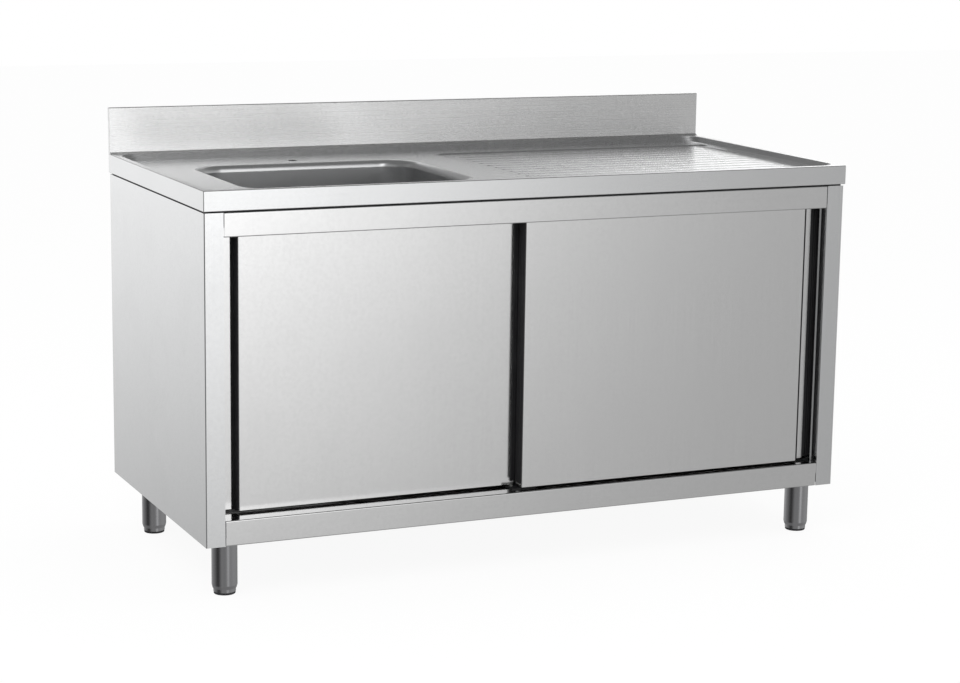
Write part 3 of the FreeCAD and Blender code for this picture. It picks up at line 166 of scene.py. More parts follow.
def draw_down(piece: bpy.types.Object, rings: Sequence[tuple[Bounds, float]]) -> None:
    """Opens a level plate and draws its outline down, ring by ring.

    Args:
        piece: The plate.
        rings: The bounds of each next ring and how far it lies below the last.
    """
    with editing(piece, "FACE"):
        select_whole()
        bpy.ops.mesh.delete(type="ONLY_FACE")
        bpy.ops.mesh.select_mode(type="EDGE")
        select_whole()
        for bounds, down in rings:
            bpy.ops.mesh.extrude_edges_move(TRANSFORM_OT_translate={"value": (0, 0, -down)})
            bring_to(piece, bounds)


def bend(radius: float, start: float, finish: float, steps: int) -> list[tuple[float, float]]:
    """The steps of a fold, each as how far it goes sideways and how far it goes down.

    Args:
        radius: The fold's radius.
        start: The slope before the fold, in radians below level.
        finish: The slope after it.
        steps: How many flat steps make the fold.

    Returns:
        One pair (sideways, down) for each step.
    """
    turns = [start + (finish - start) * step / steps for step in range(steps + 1)]
    pairs = []
    for before, after in zip(turns, turns[1:]):
        sideways = radius * abs(math.sin(after) - math.sin(before))
        down = radius * abs(math.cos(before) - math.cos(after))
        pairs.append((sideways, down))
    return pairs


def rounded(points: Sequence[Vector], radii: Sequence[float], steps: int = 4) -> list[Vector]:
    """A path with its corners turned into arcs.

    Args:
        points: The path's corners.
        radii: The radius at each corner. The first and last are not used.
        steps: How many flat steps make an arc.

    Returns:
        The points of the new path.
    """
    path = [points[0]]
    for before, corner, after, radius in zip(points, points[1:], points[2:], radii[1:]):
        if radius <= 0:
            path.append(corner)
            continue
        way_in = (before - corner).normalized()
        way_out = (after - corner).normalized()
        half = way_in.angle(way_out) / 2
        centre = corner + (way_in + way_out).normalized() * (radius / math.sin(half))
        first = corner + way_in * (radius / math.tan(half)) - centre
        last = corner + way_out * (radius / math.tan(half)) - centre
        path.extend(centre + radius * first.slerp(last, step / steps) for step in range(steps + 1))
    path.append(points[-1])
    return path


def add_plane(name: str, bounds: Bounds, height: float) -> bpy.types.Object:
    """A level rectangle, with its place in its mesh.

    Args:
        name: The new piece's name.
        bounds: Its x0, x1, y0 and y1.
        height: Its z.

    Returns:
        The new piece.
    """
    clear_selection()
    x0, x1, y0, y1 = bounds
    bpy.ops.mesh.primitive_plane_add(size=1, location=((x0 + x1) / 2, (y0 + y1) / 2, height))
    piece = bpy.context.object
    piece.name = name
    piece.scale = (x1 - x0, y1 - y0, 1)
    bpy.ops.object.transform_apply(location=True, rotation=True, scale=True)
    return piece


def rounded_plane(name: str, bounds: Bounds, height: float, radius: float, steps: int) -> bpy.types.Object:
    """A level rectangle with round corners.

    Args:
        name: The new piece's name.
        bounds: Its x0, x1, y0 and y1.
        height: Its z.
        radius: The radius of its corners.
        steps: How many edges make a corner.

    Returns:
        The new piece.
    """
    piece = add_plane(name, bounds, height)
    with editing(piece):
        select_whole()
        bpy.ops.mesh.bevel(offset=radius, offset_type="OFFSET", segments=steps, affect="VERTICES")
    return piece


def slab(name: str, corner: Vector, opposite: Vector, edge: float) -> bpy.types.Object:
    """A plate or bar between two opposite corners, with its edges eased.

    Args:
        name: The new piece's name.
        corner: One of its corners.
        opposite: The corner opposite to that.
        edge: The width of the eased edges.

    Returns:
        The new piece.
    """
    clear_selection()
    low, high = box_round((corner, opposite))
    bpy.ops.mesh.primitive_cube_add(size=1, location=(low + high) / 2)
    piece = bpy.context.object
    piece.name = name
    piece.scale = high - low
    bpy.ops.object.transform_apply(location=True, rotation=True, scale=True)
    with editing(piece, "EDGE"):
        select_whole()
        bpy.ops.mesh.bevel(offset=edge, segments=2, affect="EDGES")
    return piece


def drawn_line(name: str, points: Sequence[Vector]) -> bpy.types.Object:
    """An open line drawn by extruding one vertex from point to point.

    Args:
        name: The new piece's name.
        points: The line's points.

    Returns:
        The new piece, which has edges only.
    """
    clear_selection()
    bpy.ops.mesh.primitive_plane_add(size=MM, location=points[0])
    piece = bpy.context.object
    piece.name = name
    bpy.ops.object.transform_apply(location=True)
    with editing(piece):
        select_whole()
        bpy.ops.mesh.merge(type="CENTER")
        for start, finish in zip(points, points[1:]):
            bpy.ops.mesh.extrude_vertices_move(TRANSFORM_OT_translate={"value": finish - start})
    return piece


def face_towards(piece: bpy.types.Object, near: Vector, way: Vector) -> None:
    """Makes the normals agree, and the face nearest a place look a given way.

    Args:
        piece: The piece, an open or closed skin.
        near: The place.
        way: The direction that the face there looks in.
    """
    with editing(piece, "FACE"):
        select_whole()
        bpy.ops.mesh.normals_make_consistent(inside=False)
    nearest = min(piece.data.polygons, key=lambda face: (face.center - near).length)
    if nearest.normal.dot(way) < 0:
        with editing(piece, "FACE"):
            select_whole()
            bpy.ops.mesh.flip_normals()


def give_thickness(piece: bpy.types.Object, sheet: float) -> None:
    """Turns a skin into sheet, on the side that its faces look away from.

    Args:
        piece: The skin.
        sheet: The sheet's thickness.
    """
    only(piece)
    wall = piece.modifiers.new("sheet", "SOLIDIFY")
    wall.thickness = sheet
    wall.offset = -1
    wall.use_even_offset = True
    bpy.ops.object.modifier_apply(modifier=wall.name)


def ease_edges(piece: bpy.types.Object, width: float, sharper_than: float = 55.0) -> None:
    """Bevels the sharp edges of a piece.

    Args:
        piece: The piece.
        width: The bevel's width.
        sharper_than: The smallest angle that is bevelled, in degrees.
    """
    only(piece)
    easing = piece.modifiers.new("eased", "BEVEL")
    easing.width = width
    easing.segments = 2
    easing.limit_method = "ANGLE"
    easing.angle_limit = math.radians(sharper_than)
    bpy.ops.object.modifier_apply(modifier=easing.name)


def folded(name: str, points: Sequence[Vector], radii: Sequence[float], run: Vector, sheet: float,
           near: Vector, way: Vector) -> bpy.types.Object:
    """A strip of sheet folded along a path and drawn out along a run.

    Args:
        name: The new piece's name.
        points: The corners of the outer face's path.
        radii: The fold radius at each corner.
        run: How far the strip runs, at right angles to the path.
        sheet: The sheet's thickness.
        near: A place on the outer face.
        way: The direction that the outer face looks in at that place.

    Returns:
        The new piece.
    """
    piece = drawn_line(name, rounded(points, radii))
    with editing(piece):
        select_whole()
        bpy.ops.mesh.extrude_edges_move(TRANSFORM_OT_translate={"value": run})
    face_towards(piece, near, way)
    give_thickness(piece, sheet)
    return piece


def upright_bar(name: str, outline: Sequence[Vector], height: float) -> bpy.types.Object:
    """A solid bar with a closed outline in plan, drawn upwards.

    Args:
        name: The new piece's name.
        outline: The corners of its lower end.
        height: Its length.

    Returns:
        The new piece.
    """
    piece = drawn_line(name, outline)
    with editing(piece):
        select_whole()
        bpy.ops.mesh.edge_face_add()
        select_whole()
        bpy.ops.mesh.extrude_region_move(TRANSFORM_OT_translate={"value": (0, 0, height)})
        select_whole()
        bpy.ops.mesh.normals_make_consistent(inside=False)
    return piece


def axis_of(node: str) -> tuple[float, float]:
    """X and Y of the middle of a node's box."""
    low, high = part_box(node)
    return (low.x + high.x) / 2, (low.y + high.y) / 2


def turned(name: str, outline: Sequence[tuple[float, float]], axis: tuple[float, float],
           steps: int = 64) -> bpy.types.Object:
    """A solid turned about an upright line.

    Args:
        name: The new piece's name.
        outline: Its closed half section as (radius, height) pairs.
        axis: X and Y of the line.
        steps: How many flat steps make the turn.

    Returns:
        The new piece.
    """
    x, y = axis
    corners = [Vector((x + radius, y, height)) for radius, height in outline]
    if (corners[0] - corners[-1]).length > SAME_PLACE:
        corners.append(corners[0])
    piece = drawn_line(name, corners)
    with editing(piece):
        select_whole()
        bpy.ops.mesh.spin(steps=steps, angle=FULL_TURN, center=(x, y, 0), axis=(0, 0, 1))
        select_whole()
        bpy.ops.mesh.remove_doubles(threshold=SAME_PLACE / 2)
        select_whole()
        bpy.ops.mesh.normals_make_consistent(inside=False)
    return piece


def joined(name: str, pieces: Sequence[bpy.types.Object]) -> bpy.types.Object:
    """Joins pieces that are welded or formed as one.

    Args:
        name: The joined piece's name.
        pieces: What is joined.

    Returns:
        The joined piece.
    """
    only(pieces[0])
    for piece in pieces[1:]:
        piece.select_set(True)
    bpy.ops.object.join()
    pieces[0].name = name
    return pieces[0]


# --- Finishes -------------------------------------------------------------------------------------
class NodeBoard:
    """A node tree with short calls for adding and joining its nodes."""

    def __init__(self, tree: bpy.types.NodeTree) -> None:
        """Takes the tree to work on."""
        self.tree = tree

    def add(self, kind: str, **settings: object) -> bpy.types.Node:
        """Adds a node.

        Args:
            kind: The node's type.
            settings: Its properties by name.

        Returns:
            The new node.
        """
        node = self.tree.nodes.new(kind)
        for name, value in settings.items():
            setattr(node, name, value)
        node.location = (len(self.tree.nodes) * 60, 0)
        return node

    def join(self, source: bpy.types.NodeSocket, target: bpy.types.NodeSocket) -> None:
        """Links one socket to another."""
        self.tree.links.new(source, target)

    def sum(self, operation: str, first: object, second: object) -> bpy.types.NodeSocket:
        """A Math node on two sockets or numbers.

        Args:
            operation: The Math node's operation.
            first: A socket or a number.
            second: A socket or a number.

        Returns:
            The result's socket.
        """
        node = self.add("ShaderNodeMath", operation=operation)
        for place, value in enumerate((first, second)):
            if isinstance(value, bpy.types.NodeSocket):
                self.join(value, node.inputs[place])
            else:
                node.inputs[place].default_value = float(value)
        return node.outputs[0]

    def spread(self, source: bpy.types.NodeSocket,
               limits: tuple[float, float, float, float]) -> bpy.types.NodeSocket:
        """Maps a value from one range to another.

        Args:
            source: The value.
            limits: From lowest, from highest, to lowest and to highest.

        Returns:
            The mapped value's socket.
        """
        node = self.add("ShaderNodeMapRange")
        for name, value in zip(("From Min", "From Max", "To Min", "To Max"), limits):
            node.inputs[name].default_value = value
        self.join(source, node.inputs["Value"])
        return node.outputs["Result"]

    def tint(self, share: bpy.types.NodeSocket, first: object, second: object) -> bpy.types.NodeSocket:
        """Mixes two colours.

        Args:
            share: How much of the second colour shows.
            first: A colour or a socket.
            second: A colour or a socket.

        Returns:
            The mixed colour's socket.
        """
        node = self.add("ShaderNodeMix", data_type="RGBA")
        self.join(share, node.inputs["Factor"])
        for socket, value in ((node.inputs[6], first), (node.inputs[7], second)):
            if isinstance(value, bpy.types.NodeSocket):
                self.join(value, socket)
            else:
                socket.default_value = (*value, 1.0)
        return node.outputs[2]

    def noise(self, place: bpy.types.NodeSocket, scale: float, detail: float = 2.0,
              roughness: float = 0.5) -> bpy.types.NodeSocket:
        """A noise texture.

        Args:
            place: The socket of the coordinates.
            scale: How many patches fit in a metre.
            detail: How many finer layers lie over them.
            roughness: How strong the finer layers are.

        Returns:
            The socket of its value.
        """
        node = self.add("ShaderNodeTexNoise")
        for name, value in (("Scale", scale), ("Detail", detail), ("Roughness", roughness)):
            node.inputs[name].default_value = value
        self.join(place, node.inputs["Vector"])
        return node.outputs["Fac"]

    def white_light(self, kind: str, strength: float = 1.0) -> bpy.types.Node:
        """A node that gives white light, of the kind and strength asked for."""
        node = self.add(kind)
        node.inputs["Color"].default_value = (1, 1, 1, 1)
        node.inputs["Strength"].default_value = strength
        return node

    def blend(self, share: bpy.types.NodeSocket, first: bpy.types.Node,
              second: bpy.types.Node) -> bpy.types.Node:
        """Mixes two shaders.

        Args:
            share: How much of the second shows.
            first: The first shader.
            second: The second shader.

        Returns:
            The mixing node.
        """
        node = self.add("ShaderNodeMixShader")
        for place, source in enumerate((share, first.outputs[0], second.outputs[0])):
            self.join(source, node.inputs[place])
        return node


def effect_group(name: str, inputs: dict[str, str], outputs: Sequence[str],
                 fill: Callable[[NodeBoard, bpy.types.Node, bpy.types.Node], None]) -> bpy.types.NodeTree:
    """A shader node group that is built once.

    Args:
        name: The group's name.
        inputs: The input sockets by name, with their types.
        outputs: The names of the value outputs.
        fill: Builds the inside, given the board, the input node and the output node.

    Returns:
        The group.
    """
    tree = bpy.data.node_groups.get(name)
    if tree is not None:
        return tree
    tree = bpy.data.node_groups.new(name, "ShaderNodeTree")
    for socket, kind in inputs.items():
        tree.interface.new_socket(name=socket, in_out="INPUT", socket_type=kind)
    for socket in outputs:
        tree.interface.new_socket(name=socket, in_out="OUTPUT", socket_type="NodeSocketFloat")
    board = NodeBoard(tree)
    fill(board, board.add("NodeGroupInput"), board.add("NodeGroupOutput"))
    return tree


def fill_brushing(board: NodeBoard, given: bpy.types.Node, result: bpy.types.Node) -> None:
    """Fine scratches drawn out along one direction, over slow cloudy differences."""
    drawn_out = board.add("ShaderNodeVectorMath", operation="MULTIPLY")
    board.join(given.outputs["Place"], drawn_out.inputs[0])
    board.join(given.outputs["Stretch"], drawn_out.inputs[1])
    scratches = board.noise(drawn_out.outputs[0], scale=1.0, detail=3.0, roughness=0.65)
    board.join(scratches, result.inputs["Scratches"])
    board.join(board.noise(given.outputs["Place"], scale=2.4), result.inputs["Clouds"])


def fill_edge_wear(board: NodeBoard, given: bpy.types.Node, result: bpy.types.Node) -> None:
    """Where folds and rims are rubbed, broken up by a fine grain."""
    shape = board.add("ShaderNodeNewGeometry")
    ridge = board.spread(shape.outputs["Pointiness"], (0.505, 0.56, 0.0, 1.0))
    patchy = board.spread(board.noise(given.outputs["Place"], scale=140.0), (0.35, 0.6, 0.3, 1.0))
    worn = board.sum("MULTIPLY", ridge, patchy)
    board.join(board.sum("MULTIPLY", worn, given.outputs["Amount"]), result.inputs["Worn"])


def fill_handling(board: NodeBoard, given: bpy.types.Node, result: bpy.types.Node) -> None:
    """Faint smudges and settled dust, soft edged and uneven."""
    patches = board.noise(given.outputs["Place"], scale=7.0, detail=5.0)
    specks = board.noise(given.outputs["Place"], scale=420.0)
    soft = board.spread(patches, (0.5, 0.72, 0.0, 1.0))
    fine = board.spread(specks, (0.62, 0.75, 0.0, 0.6))
    both = board.sum("MAXIMUM", soft, fine)
    board.join(board.sum("MULTIPLY", both, given.outputs["Amount"]), result.inputs["Smudge"])


def brushing_group() -> bpy.types.NodeTree:
    """The scratches of a brushed or rolled sheet."""
    sockets = {"Place": "NodeSocketVector", "Stretch": "NodeSocketVector"}
    return effect_group("brushing", sockets, ("Scratches", "Clouds"), fill_brushing)


def edge_wear_group() -> bpy.types.NodeTree:
    """The rubbed edges that every finish has more or less of."""
    sockets = {"Place": "NodeSocketVector", "Amount": "NodeSocketFloat"}
    return effect_group("edge_wear", sockets, ("Worn",), fill_edge_wear)


def handling_group() -> bpy.types.NodeTree:
    """Smudges and dust from handling."""
    sockets = {"Place": "NodeSocketVector", "Amount": "NodeSocketFloat"}
    return effect_group("handling", sockets, ("Smudge",), fill_handling)


class Brushing(Enum):
    """Which way a surface is brushed, as how far its scratches are drawn out along X, Y and Z."""

    ALONG_WIDTH = (3.0, 700.0, 700.0)
    UPRIGHT = (700.0, 700.0, 3.0)
    EVEN = (1300.0, 1300.0, 1300.0)

    @property
    def highlight_turn(self) -> float:
        """How far a highlight is drawn out round from the map's U direction, as a share of a full turn."""
        return 0.25 if self is Brushing.ALONG_WIDTH else 0.0


Colour = tuple[float, float, float]
GRAIN_MAP = "grain"


@dataclass(frozen=True)
class Finish(ABC):
    """What every finish has: a name, a colour and how rough, rubbed and smudged it is."""

    name: str
    colour: Colour
    roughness: float
    wear: float = 0.3
    smudge: float = 0.3

    @abstractmethod
    def fill(self, board: NodeBoard, shader: bpy.types.Node, place: bpy.types.NodeSocket) -> None:
        """Adds the finish's own nodes to its material.

        Args:
            board: The material's board.
            shader: The material's shader.
            place: The socket of the object's own coordinates.
        """

    def material(self) -> bpy.types.Material:
        """Builds the material when it is first asked for.

        Returns:
            The material.
        """
        if self.name in bpy.data.materials:
            return bpy.data.materials[self.name]
        material = bpy.data.materials.new(self.name)
        material.use_nodes = True
        board = NodeBoard(material.node_tree)
        place = board.add("ShaderNodeTexCoord").outputs["Object"]
        self.fill(board, material.node_tree.nodes["Principled BSDF"], place)
        return material

    def effect(self, board: NodeBoard, group: bpy.types.NodeTree, place: bpy.types.NodeSocket,
               amount: float | None = None) -> bpy.types.Node:
        """Places one of the shared effects in a material.

        Args:
            board: The material's board.
            group: The effect.
            place: The socket of the coordinates.
            amount: How strong the effect is, where it has that input.

        Returns:
            The group's node.
        """
        node = board.add("ShaderNodeGroup", node_tree=group)
        board.join(place, node.inputs["Place"])
        if amount is not None:
            node.inputs["Amount"].default_value = amount
        return node

    def marks(self, board: NodeBoard,
              place: bpy.types.NodeSocket) -> tuple[bpy.types.NodeSocket, bpy.types.NodeSocket]:
        """The marks of use.

        Args:
            board: The material's board.
            place: The socket of the coordinates.

        Returns:
            The masks of the rubbed edges and of the smudges.
        """
        worn = self.effect(board, edge_wear_group(), place, self.wear)
        smudge = self.effect(board, handling_group(), place, self.smudge)
        return worn.outputs["Worn"], smudge.outputs["Smudge"]

    def emboss(self, board: NodeBoard, shader: bpy.types.Node, height: bpy.types.NodeSocket, strength: float,
               distance: float) -> None:
        """Gives the surface a fine relief.

        Args:
            board: The material's board.
            shader: The material's shader.
            height: The socket of the relief's height.
            strength: How much of it shows.
            distance: How deep it is at a height of one.
        """
        relief = board.add("ShaderNodeBump")
        relief.inputs["Strength"].default_value = strength
        relief.inputs["Distance"].default_value = distance
        board.join(height, relief.inputs["Height"])
        board.join(relief.outputs["Normal"], shader.inputs["Normal"])

    def shade(self, share: float) -> Colour:
        """The finish's colour, lighter or darker by a factor, never past white."""
        red, green, blue = self.colour
        return (min(1.0, red * share), min(1.0, green * share), min(1.0, blue * share))


@dataclass(frozen=True)
class SteelFinish(Finish):
    """Bare or plated steel; as the floor of a cupboard it takes painted shade and a dusty roughness behind a
    given Y.
    """

    brushing: Brushing = Brushing.ALONG_WIDTH
    depth: float = 0.05
    anisotropy: float = 0.0
    shaded_and_dusty_behind: float | None = None
    shade_and_dust_fade: float = 8 * MM
    painted_shade_share: float = 0.26
    dust_roughness: float = 0.45

    def fill(self, board: NodeBoard, shader: bpy.types.Node, place: bpy.types.NodeSocket) -> None:
        """Adds scratches, clouds, marks of use and, behind the given Y, painted shade with a dusty
        roughness.
        """
        scratches = self.effect(board, brushing_group(), place)
        scratches.inputs["Stretch"].default_value = self.brushing.value
        worn, smudge = self.marks(board, place)
        fine = board.spread(scratches.outputs["Scratches"], (0.3, 0.7, 0.0, 1.0))
        slow = board.spread(scratches.outputs["Clouds"], (0.3, 0.7, 0.0, 1.0))
        tone = board.sum("ADD", board.sum("MULTIPLY", fine, 0.45), board.sum("MULTIPLY", slow, 0.55))
        colour = board.tint(tone, self.shade(0.98), self.shade(1.02))
        colour = board.tint(worn, colour, self.shade(1.12))
        colour = board.tint(smudge, colour, self.shade(0.96))
        even = board.spread(fine, (0.0, 1.0, self.roughness - 0.03, self.roughness + 0.04))
        rough = board.sum("ADD", even, board.sum("MULTIPLY", smudge, 0.05))
        rough = board.sum("SUBTRACT", rough, board.sum("MULTIPLY", worn, 0.05))
        # Behind the given Y the colour is darkened as painted shade of the cupboard's inside, and the
        # roughness rises as with dust.
        if self.shaded_and_dusty_behind is not None:
            split = board.add("ShaderNodeSeparateXYZ")
            board.join(place, split.inputs[0])
            edge = (self.shaded_and_dusty_behind, self.shaded_and_dusty_behind + self.shade_and_dust_fade, 0.0, 1.0)
            dust_and_painted_shade = board.spread(split.outputs["Y"], edge)
            colour = board.tint(dust_and_painted_shade, colour, self.shade(self.painted_shade_share))
            rough = board.sum("ADD", rough, board.sum("MULTIPLY", dust_and_painted_shade, self.dust_roughness))
        board.join(colour, shader.inputs["Base Color"])
        board.join(rough, shader.inputs["Roughness"])
        shader.inputs["Metallic"].default_value = 1.0
        shader.inputs["Anisotropic"].default_value = self.anisotropy
        shader.inputs["Anisotropic Rotation"].default_value = self.brushing.highlight_turn
        if self.anisotropy > 0:
            grain = board.add("ShaderNodeTangent", direction_type="UV_MAP", uv_map=GRAIN_MAP)
            board.join(grain.outputs["Tangent"], shader.inputs["Tangent"])
        self.emboss(board, shader, scratches.outputs["Scratches"], self.depth, 0.2 * MM)


@dataclass(frozen=True)
class MouldedFinish(Finish):
    """Moulded plastic or rubber with a fine texture."""

    grain_size: float = 0.6 * MM
    grain_depth: float = 0.2
    sheen: float = 0.0
    shine: float = 0.5

    def fill(self, board: NodeBoard, shader: bpy.types.Node, place: bpy.types.NodeSocket) -> None:
        """Adds the moulded grain, uneven tone and marks of use."""
        worn, smudge = self.marks(board, place)
        pebbles = board.add("ShaderNodeTexVoronoi", feature="SMOOTH_F1")
        pebbles.inputs["Scale"].default_value = 1.0 / self.grain_size
        board.join(place, pebbles.inputs["Vector"])
        flow = board.noise(place, scale=18.0, detail=3.0)
        tone = board.spread(flow, (0.3, 0.7, 0.0, 1.0))
        colour = board.tint(tone, self.shade(0.88), self.shade(1.12))
        colour = board.tint(worn, colour, self.shade(2.0))
        colour = board.tint(smudge, colour, (0.16, 0.16, 0.155))
        board.join(colour, shader.inputs["Base Color"])
        rough = board.spread(flow, (0.3, 0.7, self.roughness - 0.05, self.roughness + 0.05))
        rough = board.sum("ADD", rough, board.sum("MULTIPLY", smudge, 0.15))
        board.join(rough, shader.inputs["Roughness"])
        shader.inputs["Sheen Weight"].default_value = self.sheen
        shader.inputs["Specular IOR Level"].default_value = self.shine
        self.emboss(board, shader, pebbles.outputs["Distance"], self.grain_depth, 0.1 * MM)


@dataclass(frozen=True)
class BoardFinish(Finish):
    """Pressed chips or paper board, seen only from below and in the doors' bottom slots."""

    flake_size: float = 4 * MM
    flake_contrast: float = 0.35

    def fill(self, board: NodeBoard, shader: bpy.types.Node, place: bpy.types.NodeSocket) -> None:
        """Adds flakes, fibres and marks of use."""
        worn, smudge = self.marks(board, place)
        flakes = board.add("ShaderNodeTexVoronoi")
        flakes.inputs["Scale"].default_value = 1.0 / self.flake_size
        board.join(place, flakes.inputs["Vector"])
        flake_tone = board.add("ShaderNodeSeparateColor")
        board.join(flakes.outputs["Color"], flake_tone.inputs["Color"])
        fibres = board.noise(place, scale=600.0, detail=4.0)
        mixed = board.sum("ADD", board.sum("MULTIPLY", flake_tone.outputs["Red"], 0.6),
                          board.sum("MULTIPLY", fibres, 0.4))
        darker, lighter = self.shade(1 - self.flake_contrast), self.shade(1 + self.flake_contrast / 2)
        colour = board.tint(mixed, darker, lighter)
        colour = board.tint(smudge, colour, self.shade(0.8))
        colour = board.tint(worn, colour, self.shade(1.2))
        board.join(colour, shader.inputs["Base Color"])
        rough = board.spread(fibres, (0.3, 0.7, self.roughness - 0.08, self.roughness + 0.05))
        board.join(rough, shader.inputs["Roughness"])
        self.emboss(board, shader, mixed, strength=0.35, distance=0.3 * MM)


WORKTOP_STEEL = SteelFinish("worktop_brushed_steel", (0.72, 0.725, 0.73), 0.19, depth=0.004, anisotropy=0.6)
UPSTAND_STEEL = SteelFinish("upstand_brushed_steel", (0.71, 0.71, 0.71), 0.27, depth=0.004, anisotropy=0.95)
BOWL_STEEL = SteelFinish("bowl_satin_steel", (0.74, 0.745, 0.75), 0.28, brushing=Brushing.EVEN, depth=0.002)
DOOR_STEEL = SteelFinish("door_brushed_steel", (0.72, 0.72, 0.72), 0.15, brushing=Brushing.UPRIGHT,
                         depth=0.008)
CABINET_STEEL = SteelFinish("cabinet_brushed_steel", (0.72, 0.725, 0.73), 0.15, brushing=Brushing.UPRIGHT,
                            depth=0.008)
RAIL_STEEL = SteelFinish("rail_brushed_steel", (0.72, 0.72, 0.72), 0.11, depth=0.004)
# The shelf is darkened behind the doors with painted shade.
SHELF_STEEL = SteelFinish("shelf_brushed_steel", (0.72, 0.72, 0.72), 0.10, depth=0.004, shaded_and_dusty_behind=-0.290)
PLAIN_STEEL = SteelFinish("plain_rolled_steel", (0.62, 0.63, 0.64), 0.38, brushing=Brushing.EVEN, depth=0.03,
                          smudge=0.6)
POLISHED_STEEL = SteelFinish("polished_steel", (0.75, 0.76, 0.77), 0.13, brushing=Brushing.EVEN, depth=0.015,
                             wear=0.1)
# The legs' steel is darker than the rest: painted shade for the dim room that the legs mirror.
LEG_STEEL_PAINTED_SHADE = SteelFinish("leg_steel_painted_shade", (0.38, 0.38, 0.39), 0.20, brushing=Brushing.EVEN, depth=0.01)
ZINC = SteelFinish("zinc_plate", (0.60, 0.60, 0.58), 0.42, brushing=Brushing.EVEN, depth=0.12, smudge=0.8)
BLACK_PLASTIC = MouldedFinish("black_moulded_plastic", (0.012, 0.012, 0.013), 0.5, wear=0.4, smudge=0.04,
                              shine=0.25)
BLACK_RUBBER = MouldedFinish("black_rubber", (0.025, 0.025, 0.027), 0.68, wear=0.4, smudge=0.25,
                             grain_size=0.9 * MM, sheen=0.1)
WHITE_PLASTIC = MouldedFinish("white_moulded_plastic", (0.80, 0.80, 0.78), 0.32, wear=0.1, smudge=0.12,
                              grain_depth=0.08)
WHITE_NYLON = MouldedFinish("white_nylon", (0.82, 0.82, 0.79), 0.45, wear=0.1, smudge=0.2)
CHIPBOARD = BoardFinish("pressed_chipboard", (0.60, 0.47, 0.32), 0.85)
HONEYCOMB = BoardFinish("paper_board", (0.62, 0.50, 0.36), 0.88, flake_size=9 * MM, flake_contrast=0.15)


def lay_grain_map(piece: bpy.types.Object) -> None:
    """Gives a piece a map whose U runs along X on its fronts and tops, and along Y on its sides.

    Args:
        piece: The piece.
    """
    while piece.data.uv_layers:
        piece.data.uv_layers.remove(piece.data.uv_layers[0])
    piece.data.uv_layers.new(name=GRAIN_MAP)
    with editing(piece, "FACE"):
        select_whole()
        bpy.ops.uv.cube_project(cube_size=1.0, correct_aspect=False)


def hand_over(piece: bpy.types.Object, body: str, nodes: Sequence[str], finish: Finish,
              smooth_below: float = 24.0) -> bpy.types.Object:
    """Gives a finished piece its finish, its body and the nodes that it stands for.

    Args:
        piece: The piece.
        body: The body that it rides on.
        nodes: The nodes that it replaces.
        finish: Its finish.
        smooth_below: Edges flatter than this, in degrees, are shaded smooth.

    Returns:
        The piece.
    """
    lay_grain_map(piece)
    only(piece)
    bpy.ops.object.shade_smooth_by_angle(angle=math.radians(smooth_below))
    level = piece.modifiers.new("level", "WEIGHTED_NORMAL")
    level.keep_sharp = True
    level.weight = 100
    bpy.ops.object.modifier_apply(modifier=level.name)
    piece.data.materials.clear()
    piece.data.materials.append(finish.material())
    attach(piece, body)
    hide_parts(*nodes)
    low, high = box_round([piece.matrix_world @ Vector(corner) for corner in piece.bound_box])
    boxes = [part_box(node) for node in nodes]
    under = max(min(box[0][axis] for box in boxes) - low[axis] for axis in range(3))
    over = max(high[axis] - max(box[1][axis] for box in boxes) for axis in range(3))
    LOG.info("%s: %d faces on %s, past its nodes by %.2f mm", piece.name, len(piece.data.polygons), body,
             max(under, over) / MM)
    return piece


def dress_node(name: str, finish: Finish) -> None:
    """Gives a carried-over node a finish.

    Args:
        name: The node.
        finish: Its finish.
    """
    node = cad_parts[name]
    node.data.materials.clear()
    node.data.materials.append(finish.material())
    LOG.info("%s: dressed as %s", name, finish.name)


# --- Worktop --------------------------------------------------------------------------------------
BOWL_OPENING: Bounds = (-0.624, -0.094, -0.255, 0.175)
BOWL_CORNER = 77 * MM


